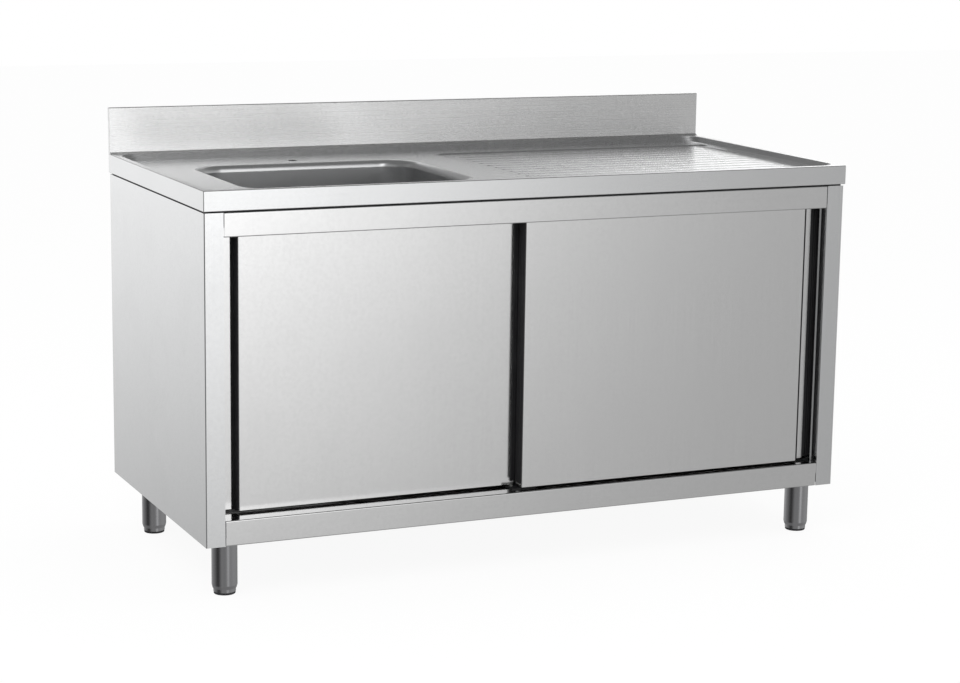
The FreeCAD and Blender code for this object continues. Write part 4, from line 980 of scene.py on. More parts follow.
@dataclass
class Worktop:
    """The top: rims, sunk pan, drainer with ribs, folded skirt, splashback and tap hole."""

    sheet: float = 1.5 * MM
    width: float = 1.5
    depth: float = 0.7
    height: float = 0.85
    skirt: float = 42 * MM
    skirt_return: float = 16 * MM
    skirt_corner: float = 1.6 * MM
    rim: float = 15 * MM
    rim_slope: float = 5 * MM
    pan_depth: float = 14 * MM
    pan_corner: float = 39 * MM
    pan_fillet: float = 5 * MM
    top_fold: float = 2 * MM
    bottom_fold: float = 1.5 * MM
    splash_thickness: float = 12 * MM
    splash_height: float = 104 * MM
    splash_return: float = 30 * MM
    cove_run: float = 33 * MM
    cove_height: float = 18 * MM
    drainer: Bounds = (0.004, 0.72, -0.29, 0.25)
    drainer_depth: float = 3 * MM
    drainer_slope: float = 4 * MM
    drainer_corner: float = 30 * MM
    rib_pitch: float = 41 * MM
    rib_radius: float = 14 * MM
    rib_height: float = 1.2 * MM
    rib_margin: float = 36 * MM
    rib_sink: float = 0.4 * MM
    tap_place: tuple[float, float] = (-0.359, 0.219)
    tap_radius: float = 11 * MM
    cove_fold: float = 1.2 * MM
    splash_fold: float = 2.2 * MM
    plate_edge: float = 0.4 * MM
    plate_inset: float = 0.5 * MM
    plate_drop: float = 0.6 * MM

    @property
    def splash_face(self) -> float:
        """Y of the splashback's front face."""
        return self.depth / 2 - self.splash_thickness

    @property
    def pan_floor(self) -> float:
        """Z of the pan's floor."""
        return self.height - self.pan_depth

    def skirt_skin(self) -> bpy.types.Object:
        """The outer folds, from the rim's top down the skirt to the return under it.

        Returns:
            The open skin, with a free loop round the rim's top.
        """
        half_width = self.width / 2 - self.top_fold
        half_depth = self.depth / 2 - self.top_fold
        bounds = (-half_width, half_width, -half_depth, half_depth)
        piece = rounded_plane("rim", bounds, self.height, self.skirt_corner, 4)
        straight = self.skirt - self.top_fold - self.bottom_fold
        steps = bend(self.top_fold, 0, math.pi / 2, 4)
        steps.append((0.0, straight))
        steps.extend((-out, down) for out, down in bend(self.bottom_fold, math.pi / 2, math.pi, 3))
        steps.append((self.bottom_fold - self.skirt_return, 0.0))
        rings = []
        for out, down in steps:
            bounds = grown(bounds, out)
            rings.append((bounds, down))
        draw_down(piece, rings)
        return piece

    def pan_skin(self) -> bpy.types.Object:
        """The walls of the sunk pan, steep in front and at the ends and a long cove behind.

        Returns:
            The open skin, with a free loop at its top and another round its floor.
        """
        slope = math.atan2(self.pan_depth, self.rim_slope)
        lead = self.top_fold * math.tan(slope / 2)
        foot = self.pan_fillet * math.tan(slope / 2)
        half = self.width / 2 - self.rim
        front = self.rim - self.depth / 2
        fall = self.cove_run / self.cove_height
        rear = self.splash_face - fall * (self.cove_height - self.pan_depth)
        bounds = (-half - lead, half + lead, front - lead, rear)
        piece = rounded_plane("pan", bounds, self.height, self.pan_corner, CORNER_STEPS)
        straight = self.pan_depth / math.sin(slope) - lead - foot
        steps = bend(self.top_fold, 0, slope, 4)
        steps.append((straight * math.cos(slope), straight * math.sin(slope)))
        steps.extend(bend(self.pan_fillet, slope, 0, 5))
        rings = []
        for inwards, down in steps:
            x0, x1, y0, y1 = bounds
            bounds = (x0 + inwards, x1 - inwards, y0 + inwards, y1 - down * fall)
            rings.append((bounds, down))
        draw_down(piece, rings)
        return piece

    def drainer_skin(self) -> bpy.types.Object:
        """The drainer's shallow field.

        Returns:
            The skin, with a free loop round its top.
        """
        slope = math.atan2(self.drainer_depth, self.drainer_slope)
        lead = self.top_fold * math.tan(slope / 2)
        bounds = grown(self.drainer, self.drainer_slope + lead)
        piece = rounded_plane("drainer", bounds, self.pan_floor, self.drainer_corner, CORNER_STEPS)
        straight = self.drainer_depth / math.sin(slope) - 2 * lead
        steps = bend(self.top_fold, 0, slope, 3)
        steps.append((straight * math.cos(slope), straight * math.sin(slope)))
        steps.extend(bend(self.top_fold, slope, 0, 3))
        with editing(piece, "FACE"):
            select_whole()
            for inwards, down in steps:
                bpy.ops.mesh.inset(thickness=inwards, depth=-down)
        return piece

    def opening_loop(self) -> bpy.types.Object:
        """The free loop round the bowl's opening."""
        piece = rounded_plane("opening", BOWL_OPENING, self.pan_floor, BOWL_CORNER, CORNER_STEPS)
        with editing(piece, "FACE"):
            select_whole()
            bpy.ops.mesh.delete(type="ONLY_FACE")
        return piece

    def tap_loop(self) -> bpy.types.Object:
        """The free loop round the tap hole."""
        clear_selection()
        x, y = self.tap_place
        bpy.ops.mesh.primitive_circle_add(vertices=40, radius=self.tap_radius,
                                          location=(x, y, self.pan_floor))
        bpy.ops.object.transform_apply(location=True)
        return bpy.context.object

    def rib(self, y: float) -> bpy.types.Object:
        """One rib of the drainer, round along its back and at its ends.

        Args:
            y: The rib's middle line.

        Returns:
            The rib.
        """
        x0, x1, _, _ = self.drainer
        middle = (x0 + x1) / 2
        reach = (x1 - x0) / 2 - self.rib_margin
        floor = self.pan_floor - self.drainer_depth
        axis = floor + self.rib_height - self.rib_radius
        clear_selection()
        bpy.ops.mesh.primitive_uv_sphere_add(segments=64, ring_count=64, radius=self.rib_radius,
                                             location=(middle, y, axis))
        piece = bpy.context.object
        bpy.ops.object.transform_apply(location=True)
        sink = floor - self.rib_sink
        with editing(piece):
            for place, way in (((middle, y, axis), (-1, 0, 0)), ((middle, y, sink), (0, 0, -1))):
                select_whole()
                bpy.ops.mesh.bisect(plane_co=place, plane_no=way, clear_outer=True)
            select_whole()
            bpy.ops.transform.translate(value=(reach, 0, 0))
            pick_edges(piece, lambda a, b: max(a.x, b.x) < middle + reach + SAME_PLACE)
            bpy.ops.mesh.extrude_edges_move(TRANSFORM_OT_translate={"value": (-2 * reach, 0, 0)})
        end = self.rib_end(piece, middle)
        rib = joined("rib", [piece, end])
        with editing(rib):
            select_whole()
            bpy.ops.mesh.remove_doubles(threshold=SAME_PLACE)
        return rib

    def rib_end(self, rib: bpy.types.Object, middle: float) -> bpy.types.Object:
        """The rib's other end, a mirrored copy of its first.

        Args:
            rib: The rib with its first end.
            middle: X of the rib's middle.

        Returns:
            The other end.
        """
        only(rib)
        bpy.ops.object.duplicate()
        end = bpy.context.object
        with editing(end):
            pick_edges(end, lambda a, b: min(a.x, b.x) < middle)
            bpy.ops.mesh.delete(type="VERT")
            select_whole()
            bpy.ops.transform.resize(value=(-1, 1, 1), center_override=(middle, 0, 0))
            bpy.ops.mesh.flip_normals()
        return end

    def ribs(self) -> list[bpy.types.Object]:
        """The row of ribs, each copied from the first.

        Returns:
            The ribs.
        """
        _, _, y0, y1 = self.drainer
        count = int((y1 - y0 + SAME_PLACE) // self.rib_pitch)
        first = (y0 + y1 - (count - 1) * self.rib_pitch) / 2
        row = [self.rib(first)]
        for step in range(1, count):
            only(row[0])
            bpy.ops.object.duplicate()
            bpy.ops.transform.translate(value=(0, step * self.rib_pitch, 0))
            bpy.ops.object.transform_apply(location=True)
            row.append(bpy.context.object)
        return row

    def splashback(self) -> list[bpy.types.Object]:
        """The upstand: cove edge, front, top fold and back return in one strip, and its two end plates.

        Returns:
            The strip and the plates.
        """
        left = -self.width / 2
        face = self.splash_face
        back = self.depth / 2
        top = self.height + self.splash_height
        lift = self.cove_height - self.pan_depth
        reach = self.cove_run * lift / self.cove_height
        corners = ((face - reach, self.height), (face, self.height + lift), (face, top), (back, top),
                   (back, top - self.splash_return))
        points = [Vector((left, y, z)) for y, z in corners]
        radii = (0, self.cove_fold, self.splash_fold, self.splash_fold, 0)
        middle = Vector((0, face, (self.height + top) / 2))
        run = Vector((self.width, 0, 0))
        strip = folded("upstand", points, radii, run, self.sheet, middle, TO_THE_FRONT)
        plates = []
        for x in (left, -left - self.sheet):
            low = Vector((x, face + self.plate_inset, self.height - self.sheet))
            high = Vector((x + self.sheet, back - self.plate_inset, top - self.plate_drop))
            plates.append(slab("end_plate", low, high, self.plate_edge))
        return [strip, *plates]

    def build(self) -> list[bpy.types.Object]:
        """Builds the pressed top and the upstand along its back.

        Returns:
            The two pieces.
        """
        folds = [self.skirt_skin(), self.pan_skin(), self.drainer_skin()]
        top = joined("worktop_skin", [*folds, self.opening_loop(), self.tap_loop()])
        with editing(top, "EDGE"):
            for level in (self.height, self.pan_floor):
                pick_edges(top, lambda a, b, z=level: max(abs(a.z - z), abs(b.z - z)) < SAME_PLACE)
                bpy.ops.mesh.fill(use_beauty=True)
            select_whole()
            bpy.ops.mesh.remove_doubles(threshold=SAME_PLACE / 10)
        drainer_right, drainer_back = self.drainer[1], self.drainer[3]
        pan_place = Vector((drainer_right / 2, (drainer_back + self.splash_face) / 2, self.pan_floor))
        face_towards(top, pan_place, UPWARDS)
        give_thickness(top, self.sheet)
        top = joined("worktop_skin", [top, *self.ribs()])
        hand_over(top, "cabinet", ("worktop",), WORKTOP_STEEL)
        upstand = joined("worktop_upstand", self.splashback())
        hand_over(upstand, "cabinet", ("worktop",), UPSTAND_STEEL)
        return [top, upstand]


# --- Bowl and waste -------------------------------------------------------------------------------
@dataclass
class Bowl:
    """The pressed bowl with its rolled lip, its waste fitting and the standpipe."""

    sheet: float = 1.0 * MM
    top: float = 0.836
    depth: float = 0.25
    roll: float = 15 * MM
    floor_radius: float = 42 * MM
    waste_place: tuple[float, float] = (-0.359, 0.055)
    dish_radius: float = 47 * MM
    dish_depth: float = 3.5 * MM
    hole_radius: float = 30 * MM
    flange_radius: float = 43 * MM
    flange_thickness: float = 2.5 * MM
    neck_radius: float = 29.7 * MM
    neck_bore: float = 25 * MM
    neck_length: float = 38 * MM
    pipe_radius: float = 21 * MM
    pipe_wall: float = 1.5 * MM
    pipe_height: float = 0.2
    plug_depth: float = 12 * MM
    collar_radius: float = 29 * MM
    collar_height: float = 6 * MM
    seat_clearance: float = 0.3 * MM
    seal_section: float = 3 * MM
    handle_radius: float = 2.5 * MM
    dish_ease: float = 1.5 * MM
    ease: float = 0.6 * MM
    mouth_ease: float = 0.5 * MM

    @property
    def floor(self) -> float:
        """Z of the bowl's floor."""
        return self.top - self.depth

    @property
    def seat(self) -> float:
        """Z of the dish's floor, on which the flange lies."""
        return self.floor - self.dish_depth

    def well(self) -> bpy.types.Object:
        """The bowl's walls and floor, drawn down from its opening by insets.

        Returns:
            The skin, with a hole where the dish sits.
        """
        piece = rounded_plane("well", BOWL_OPENING, self.top, BOWL_CORNER, CORNER_STEPS)
        straight = self.depth - self.roll - self.floor_radius
        with editing(piece, "FACE"):
            select_whole()
            for inwards, down in bend(self.roll, 0, math.pi / 2, 7):
                bpy.ops.mesh.inset(thickness=inwards, depth=-down)
            bpy.ops.mesh.extrude_region_move(TRANSFORM_OT_translate={"value": (0, 0, -straight)})
            for inwards, down in bend(self.floor_radius, math.pi / 2, 0, 9):
                bpy.ops.mesh.inset(thickness=inwards, depth=-down)
            bpy.ops.mesh.delete(type="ONLY_FACE")
        clear_selection()
        x, y = self.waste_place
        bpy.ops.mesh.primitive_circle_add(vertices=64, radius=self.dish_radius, location=(x, y, self.floor))
        bpy.ops.object.transform_apply(location=True)
        well = joined("well", [piece, bpy.context.object])
        with editing(well, "EDGE"):
            pick_edges(well, lambda a, b: max(abs(a.z - self.floor), abs(b.z - self.floor)) < SAME_PLACE)
            bpy.ops.mesh.fill(use_beauty=True)
        face_towards(well, Vector((x + 2 * self.dish_radius, y, self.floor)), UPWARDS)
        give_thickness(well, self.sheet)
        return well

    def dish(self) -> bpy.types.Object:
        """The turned dish in the floor, which the waste's flange lies in."""
        outer = self.dish_radius
        under = self.seat - self.sheet
        outline = ((outer + self.sheet, self.floor), (outer + self.sheet, under), (self.hole_radius, under),
                   (self.hole_radius, self.seat), (outer - self.dish_ease, self.seat),
                   (outer - self.dish_ease / 5, self.seat + self.ease), (outer, self.floor))
        return turned("dish", outline, self.waste_place)

    def flange(self) -> bpy.types.Object:
        """The waste's flange and threaded neck."""
        top = self.seat + self.flange_thickness
        end = self.seat - self.neck_length
        chamfer = self.flange_thickness / 2
        outline = [(self.neck_bore, end), (self.neck_radius, end), (self.neck_radius, self.seat),
                   (self.flange_radius, self.seat), (self.flange_radius, top - chamfer),
                   (self.flange_radius - chamfer, top), (self.neck_bore + 2 * self.ease, top),
                   (self.neck_bore, top - 2 * self.ease)]
        return turned("waste_ring", outline, self.waste_place)

    def standpipe(self) -> bpy.types.Object:
        """The overflow pipe with its collar, its plug end, a rolled top and its lifting bar.

        Returns:
            The pipe.
        """
        x, y = self.waste_place
        ease = self.ease
        seat = self.seat + self.flange_thickness + self.seat_clearance
        top = seat + self.pipe_height
        bottom = seat - self.plug_depth
        outer = self.pipe_radius
        inner = outer - self.pipe_wall
        groove = seat - self.plug_depth / 2
        groove_floor = outer - self.pipe_wall / 2
        collar = self.collar_radius
        collar_top = seat + self.collar_height
        mouth = top - self.mouth_ease
        groove_top = groove + self.seal_section
        outline = [(inner, bottom), (outer, bottom), (outer, groove), (groove_floor, groove),
                   (groove_floor, groove_top), (outer, groove_top), (outer, seat), (collar - ease, seat),
                   (collar, seat + ease), (collar, collar_top - 2 * ease), (collar - 2 * ease, collar_top),
                   (outer + ease, collar_top), (outer, collar_top + ease), (outer, mouth),
                   (outer - self.mouth_ease, top), (inner + self.mouth_ease, top), (inner, mouth)]
        pipe = turned("pipe", outline, self.waste_place)
        clear_selection()
        bpy.ops.mesh.primitive_cylinder_add(vertices=24, radius=self.handle_radius, depth=2 * groove_floor,
                                            location=(x, y, top - 2 * self.handle_radius))
        bar = bpy.context.object
        bar.rotation_euler = (0, math.pi / 2, 0)
        bpy.ops.object.transform_apply(location=True, rotation=True)
        ease_edges(bar, FINE_EDGE)
        return joined("overflow_pipe", [pipe, bar])

    def build(self) -> list[bpy.types.Object]:
        """Builds the bowl, the flange and the standpipe.

        Returns:
            The three pieces.
        """
        bowl = joined("bowl_pressing", [self.well(), self.dish()])
        hand_over(bowl, "cabinet", ("sink_bowl",), BOWL_STEEL)
        flange = self.flange()
        hand_over(flange, "cabinet", ("waste_flange",), POLISHED_STEEL, smooth_below=30)
        pipe = self.standpipe()
        hand_over(pipe, "standpipe", ("standpipe",), POLISHED_STEEL, smooth_below=30)
        return [bowl, flange, pipe]


# --- Cabinet --------------------------------------------------------------------------------------
class Side(Enum):
    """The left and right of the unit, as the way that leads outwards along X."""

    LEFT = -1
    RIGHT = 1

    @property
    def word(self) -> str:
        """The side's name as the nodes have it."""
        return self.name.lower()


@dataclass
class Cabinet:
    """The folded sheets of the cabinet: side panels with posts, header and shelf."""

    sheet: float = 1.2 * MM
    fold: float = 2.4 * MM
    seam: float = 1.2 * MM
    post_width: float = 41 * MM
    post_depth: float = 27.5 * MM
    post_lip: float = 2.4 * MM
    top_flange: float = 32 * MM
    bottom_flange: float = 24 * MM
    rear_flange: float = 25 * MM
    header_flange: float = 12 * MM
    shelf_flange: float = 24 * MM

    def side_panel(self, side: Side) -> bpy.types.Object:
        """One side: rear flange, side and post folded from one sheet, with the post's inner return.

        Args:
            side: Which side.

        Returns:
            The finished panel.
        """
        node = f"{side.word}_side_panel"
        low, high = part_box(node)
        shelf_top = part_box("bottom_shelf")[1].z
        header_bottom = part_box("header_rail")[0].z
        out = side.value
        outer = high.x if out > 0 else low.x
        front, back = low.y, high.y
        post = outer - out * self.post_width
        post_back = front + self.post_depth
        corners = ((outer - out * self.rear_flange, back), (outer, back), (outer, front), (post, front))
        points = [Vector((x, y, low.z)) for x, y in corners]
        upright = Vector((0, 0, high.z - low.z))
        side_middle = Vector((outer, (front + back) / 2, (low.z + high.z) / 2))
        wrap = folded("wrap", points, (0, self.fold, self.fold, 0), upright, self.sheet, side_middle,
                      Vector((out, 0, 0)))
        inner_low = shelf_top - self.sheet
        inner_points = [Vector((post + out * self.fold, front, inner_low)), Vector((post, front, inner_low)),
                        Vector((post, post_back, inner_low))]
        inner_middle = Vector((post, front + self.post_depth / 2, (inner_low + high.z) / 2))
        inner = folded("return", inner_points, (0, self.fold, 0), Vector((0, 0, high.z - inner_low)),
                       self.sheet, inner_middle, Vector((-out, 0, 0)))
        lip = slab("lip", Vector((post + out * self.sheet, post_back - self.sheet, shelf_top)),
                   Vector((post - out * self.post_lip, post_back, header_bottom)), FINE_EDGE)
        flanges = []
        for width, z in ((self.top_flange, high.z - self.sheet), (self.bottom_flange, low.z)):
            flanges.append(slab("flange", Vector((outer - out * self.sheet, front + self.sheet, z)),
                                Vector((outer - out * width, back - self.sheet, z + self.sheet)), FINE_EDGE))
        panel = joined(f"{side.word}_side_sheet", [wrap, inner, lip, *flanges])
        return hand_over(panel, "cabinet", (node,), CABINET_STEEL)

    def header(self) -> bpy.types.Object:
        """The header: bottom flange, face, top and the rear drop behind the door track."""
        low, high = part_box("header_rail")
        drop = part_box("door_track")[0].z
        corners = ((low.y + self.header_flange, low.z), (low.y, low.z), (low.y, high.z), (high.y, high.z),
                   (high.y, drop))
        points = [Vector((low.x + self.seam, y, z)) for y, z in corners]
        radii = (0, self.fold, self.fold, self.fold, 0)
        middle = Vector((0, low.y, (low.z + high.z) / 2))
        run = Vector((high.x - low.x - 2 * self.seam, 0, 0))
        rail = folded("header_sheet", points, radii, run, self.sheet, middle, TO_THE_FRONT)
        return hand_over(rail, "cabinet", ("header_rail",), RAIL_STEEL)

    def shelf(self) -> bpy.types.Object:
        """The cabinet floor with its front rail, its rear fold and the wings behind the posts."""
        low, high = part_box("bottom_shelf")
        header_low, header_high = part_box("header_rail")
        corners = ((low.y + self.shelf_flange, low.z), (low.y, low.z), (low.y, high.z), (high.y, high.z),
                   (high.y, low.z), (high.y - self.shelf_flange, low.z))
        points = [Vector((header_low.x + self.seam, y, z)) for y, z in corners]
        radii = (0, self.fold, self.fold, self.fold, self.fold, 0)
        middle = Vector((0, low.y, (low.z + high.z) / 2))
        run = Vector((header_high.x - header_low.x - 2 * self.seam, 0, 0))
        floor = folded("shelf_sheet", points, radii, run, self.sheet, middle, TO_THE_FRONT)
        behind_post = low.y + self.post_depth
        wings = []
        for x0, x1 in ((low.x, header_low.x + self.fold), (header_high.x - self.fold, high.x)):
            wings.append(slab("wing", Vector((x0, behind_post, high.z - self.sheet)),
                              Vector((x1, high.y, high.z)), FINE_EDGE))
        shelf = joined("shelf_sheet", [floor, *wings])
        return hand_over(shelf, "cabinet", ("bottom_shelf",), SHELF_STEEL)

    def build(self) -> list[bpy.types.Object]:
        """Builds the four folded sheets.

        Returns:
            The panels, the header and the shelf.
        """
        return [self.side_panel(Side.LEFT), self.side_panel(Side.RIGHT), self.header(), self.shelf()]


# --- Doors ----------------------------------------------------------------------------------------
@dataclass
class SlidingDoor:
    """One sliding door: outer skin with its finger grip, grip trim and seals."""

    side: Side
    width: float = 0.75
    thickness: float = 28 * MM
    sheet: float = 1.0 * MM
    grip_width: float = 58 * MM
    grip_depth: float = 19 * MM
    trim_width: float = 10 * MM
    seal_width: float = 31 * MM
    seal_setback: float = 21 * MM
    slot_width: float = 10 * MM
    meeting_radius: float = 3.0 * MM
    grip_radius: float = 1.8 * MM
    face_seal_from_edge: float = 58.8 * MM
    face_seal_width: float = 15 * MM
    face_seal_thickness: float = 3 * MM
    gusset_height: float = 8 * MM
    edge_seal_thickness: float = 1.6 * MM
    edge_seal_rib: float = 1.4 * MM
    end_fold: float = 0.8 * MM
    step_fold: float = 1.5 * MM
    plate_edge: float = 0.2 * MM
    profile_edge: float = 0.25 * MM

    @property
    def name(self) -> str:
        """The door's name, which is also its body's."""
        return f"{self.side.word}_door"

    def at(self, along: float, back: float, height: float) -> Vector:
        """A place in the door.

        Args:
            along: The distance from the door's outer end.
            back: The distance behind its face.
            height: Z.

        Returns:
            The place.
        """
        low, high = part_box(f"{self.name}_outer_skin")
        if self.side is Side.LEFT:
            return Vector((low.x - self.seal_width + along, low.y + back, height))
        return Vector((high.x + self.seal_width - along, low.y + back, height))

    def plate(self, name: str, along: tuple[float, float], back: tuple[float, float],
              height: tuple[float, float]) -> bpy.types.Object:
        """A small plate in the door, between two distances in each direction."""
        corner, opposite = (self.at(*place) for place in zip(along, back, height))
        return slab(name, corner, opposite, self.plate_edge)

    def outer_skin(self) -> bpy.types.Object:
        """The front sheet, folded round the grip and the meeting edge, with its top and bottom folds.

        Returns:
            The finished skin.
        """
        node = f"{self.name}_outer_skin"
        low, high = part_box(node)
        inside = self.thickness - self.sheet
        corners = ((self.seal_width, inside), (self.seal_width, self.grip_depth),
                   (self.grip_width, self.grip_depth), (self.grip_width, 0.0), (self.width, 0.0),
                   (self.width, inside))
        radii = (0, self.end_fold, self.step_fold, self.grip_radius, self.meeting_radius, 0)
        points = [self.at(along, back, low.z) for along, back in corners]
        middle = self.at(self.width / 2, 0, (low.z + high.z) / 2)
        run = Vector((0, 0, high.z - low.z))
        skin = folded("face", points, radii, run, self.sheet, middle, TO_THE_FRONT)
        in_edge = self.meeting_radius / 2
        lip = (self.thickness - self.slot_width) / 2
        inner = (self.grip_width + in_edge, self.width - in_edge)
        top = self.plate("top", inner, (in_edge, inside), (high.z - self.sheet, high.z))
        end = self.plate("top", (self.seal_width + self.sheet, self.grip_width + in_edge),
                         (self.grip_depth + self.sheet, inside), (high.z - self.sheet, high.z))
        bottom = self.plate("bottom", inner, (in_edge, lip), (low.z, low.z + self.sheet))
        near = self.grip_width - 0.7 * self.trim_width
        gusset = ((near, self.grip_depth), (self.grip_width - self.trim_width, self.grip_depth),
                  (near, 0.75 * self.grip_depth))
        gusset = [self.at(along, back, low.z) for along, back in gusset]
        foot = upright_bar("gusset", gusset, self.gusset_height)
        skin = joined(f"{self.name}_front_sheet", [skin, top, end, bottom, foot])
        return hand_over(skin, self.name, (node,), DOOR_STEEL)

    def profile(self, node: str, outline: Sequence[tuple[float, float]], name: str,
                drop: float = 0.0) -> bpy.types.Object:
        """A black profile that runs up the door.

        Args:
            node: The node it stands for, whose height it has.
            outline: Its corners as distances along and behind the face.
            name: The new piece's name.
            drop: How far it runs on below its node.

        Returns:
            The finished profile.
        """
        low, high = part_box(node)
        start = low.z - drop
        bar = upright_bar(name, [self.at(along, back, start) for along, back in outline], high.z - start)
        ease_edges(bar, self.profile_edge, 40)
        return hand_over(bar, self.name, (node,), BLACK_PLASTIC, smooth_below=30)

    def grip_trim(self) -> bpy.types.Object:
        """The two-lobed trim on the grip's wall, with a fine groove between its lobes."""
        wall = self.grip_width
        lobe = self.trim_width / 4
        deep = self.grip_depth
        outline = ((wall, self.sheet), (wall, deep), (wall - self.trim_width, deep),
                   (wall - 3.95 * lobe, 0.86 * deep), (wall - 3.6 * lobe, 0.68 * deep),
                   (wall - 2.9 * lobe, 0.62 * deep), (wall - 2.4 * lobe, 0.6 * deep),
                   (wall - 2.5 * lobe, 0.55 * deep), (wall - 2.9 * lobe, 0.5 * deep),
                   (wall - 2.7 * lobe, 0.36 * deep), (wall - 2 * lobe, 0.22 * deep),
                   (wall - 1.2 * lobe, 0.12 * deep), (wall - lobe / 2, self.sheet))
        return self.profile(f"{self.name}_grip_trim", outline, f"{self.name}_grip_strip", self.gusset_height)

    def side_seal(self) -> bpy.types.Object:
        """The ribbed seal at the door's outer end."""
        back = self.thickness
        front = self.seal_setback
        third = (back - front) / 3
        rib = self.seal_width / 12
        start = self.seal_width / 4
        outline = [(self.seal_width, front), (self.seal_width, back), (0.0, back), (0.0, back - third),
                   (start, back - third)]
        for step in range(4):
            at = start + step * 2 * rib
            outline.extend(((at, front), (at + rib, front)))
            if step < 3:
                outline.extend(((at + rib, front + third), (at + 2 * rib, front + third)))
        return self.profile(f"{self.name}_side_seal", outline, f"{self.name}_end_seal")

    def meeting_seal(self) -> bpy.types.Object:
        """The strip between the doors: on the face of the left one, at the edge of the right one."""
        node = f"{self.name}_meeting_seal"
        name = f"{self.name}_middle_seal"
        if self.side is Side.LEFT:
            far = self.width - self.face_seal_from_edge
            near = far - self.face_seal_width
            proud = -self.face_seal_thickness
            rib = self.face_seal_width / 5
            levels = (proud, proud / 2, proud * 0.8, proud / 2, proud)
            outline = [(near, 0.0)]
            for step, level in enumerate(levels):
                outline.extend(((near + step * rib, level), (near + (step + 1) * rib, level)))
            outline.append((far, 0.0))
            return self.profile(node, outline, name)
        near = self.width
        base = near + self.edge_seal_thickness
        tip = base + self.edge_seal_rib
        deep = self.thickness - self.sheet
        outline = ((near, self.sheet), (near, deep), (tip, deep), (tip, 0.8 * deep), (base, 0.72 * deep),
                   (base, 0.6 * deep), (tip - 0.4 * MM, 0.56 * deep), (tip - 0.4 * MM, 0.5 * deep),
                   (base, 0.46 * deep), (base, 0.42 * deep), (tip, 0.38 * deep), (tip, 0.22 * deep),
                   (base, self.sheet))
        return self.profile(node, outline, name)

    def build(self) -> list[bpy.types.Object]:
        """Builds the door's visible pieces and dresses what it carries.

        Returns:
            The new pieces.
        """
        pieces = [self.outer_skin(), self.grip_trim(), self.side_seal(), self.meeting_seal()]
        dress_node(f"{self.name}_inner_skin", PLAIN_STEEL)
        dress_node(f"{self.name}_core", HONEYCOMB)
        for fitting in ("hanger_screws", "axles", "outer_hanger", "inner_hanger"):
            dress_node(f"{self.name}_{fitting}", ZINC)
        for end in ("outer", "inner"):
            dress_node(f"{self.name}_{end}_rollers", WHITE_NYLON)
        return pieces


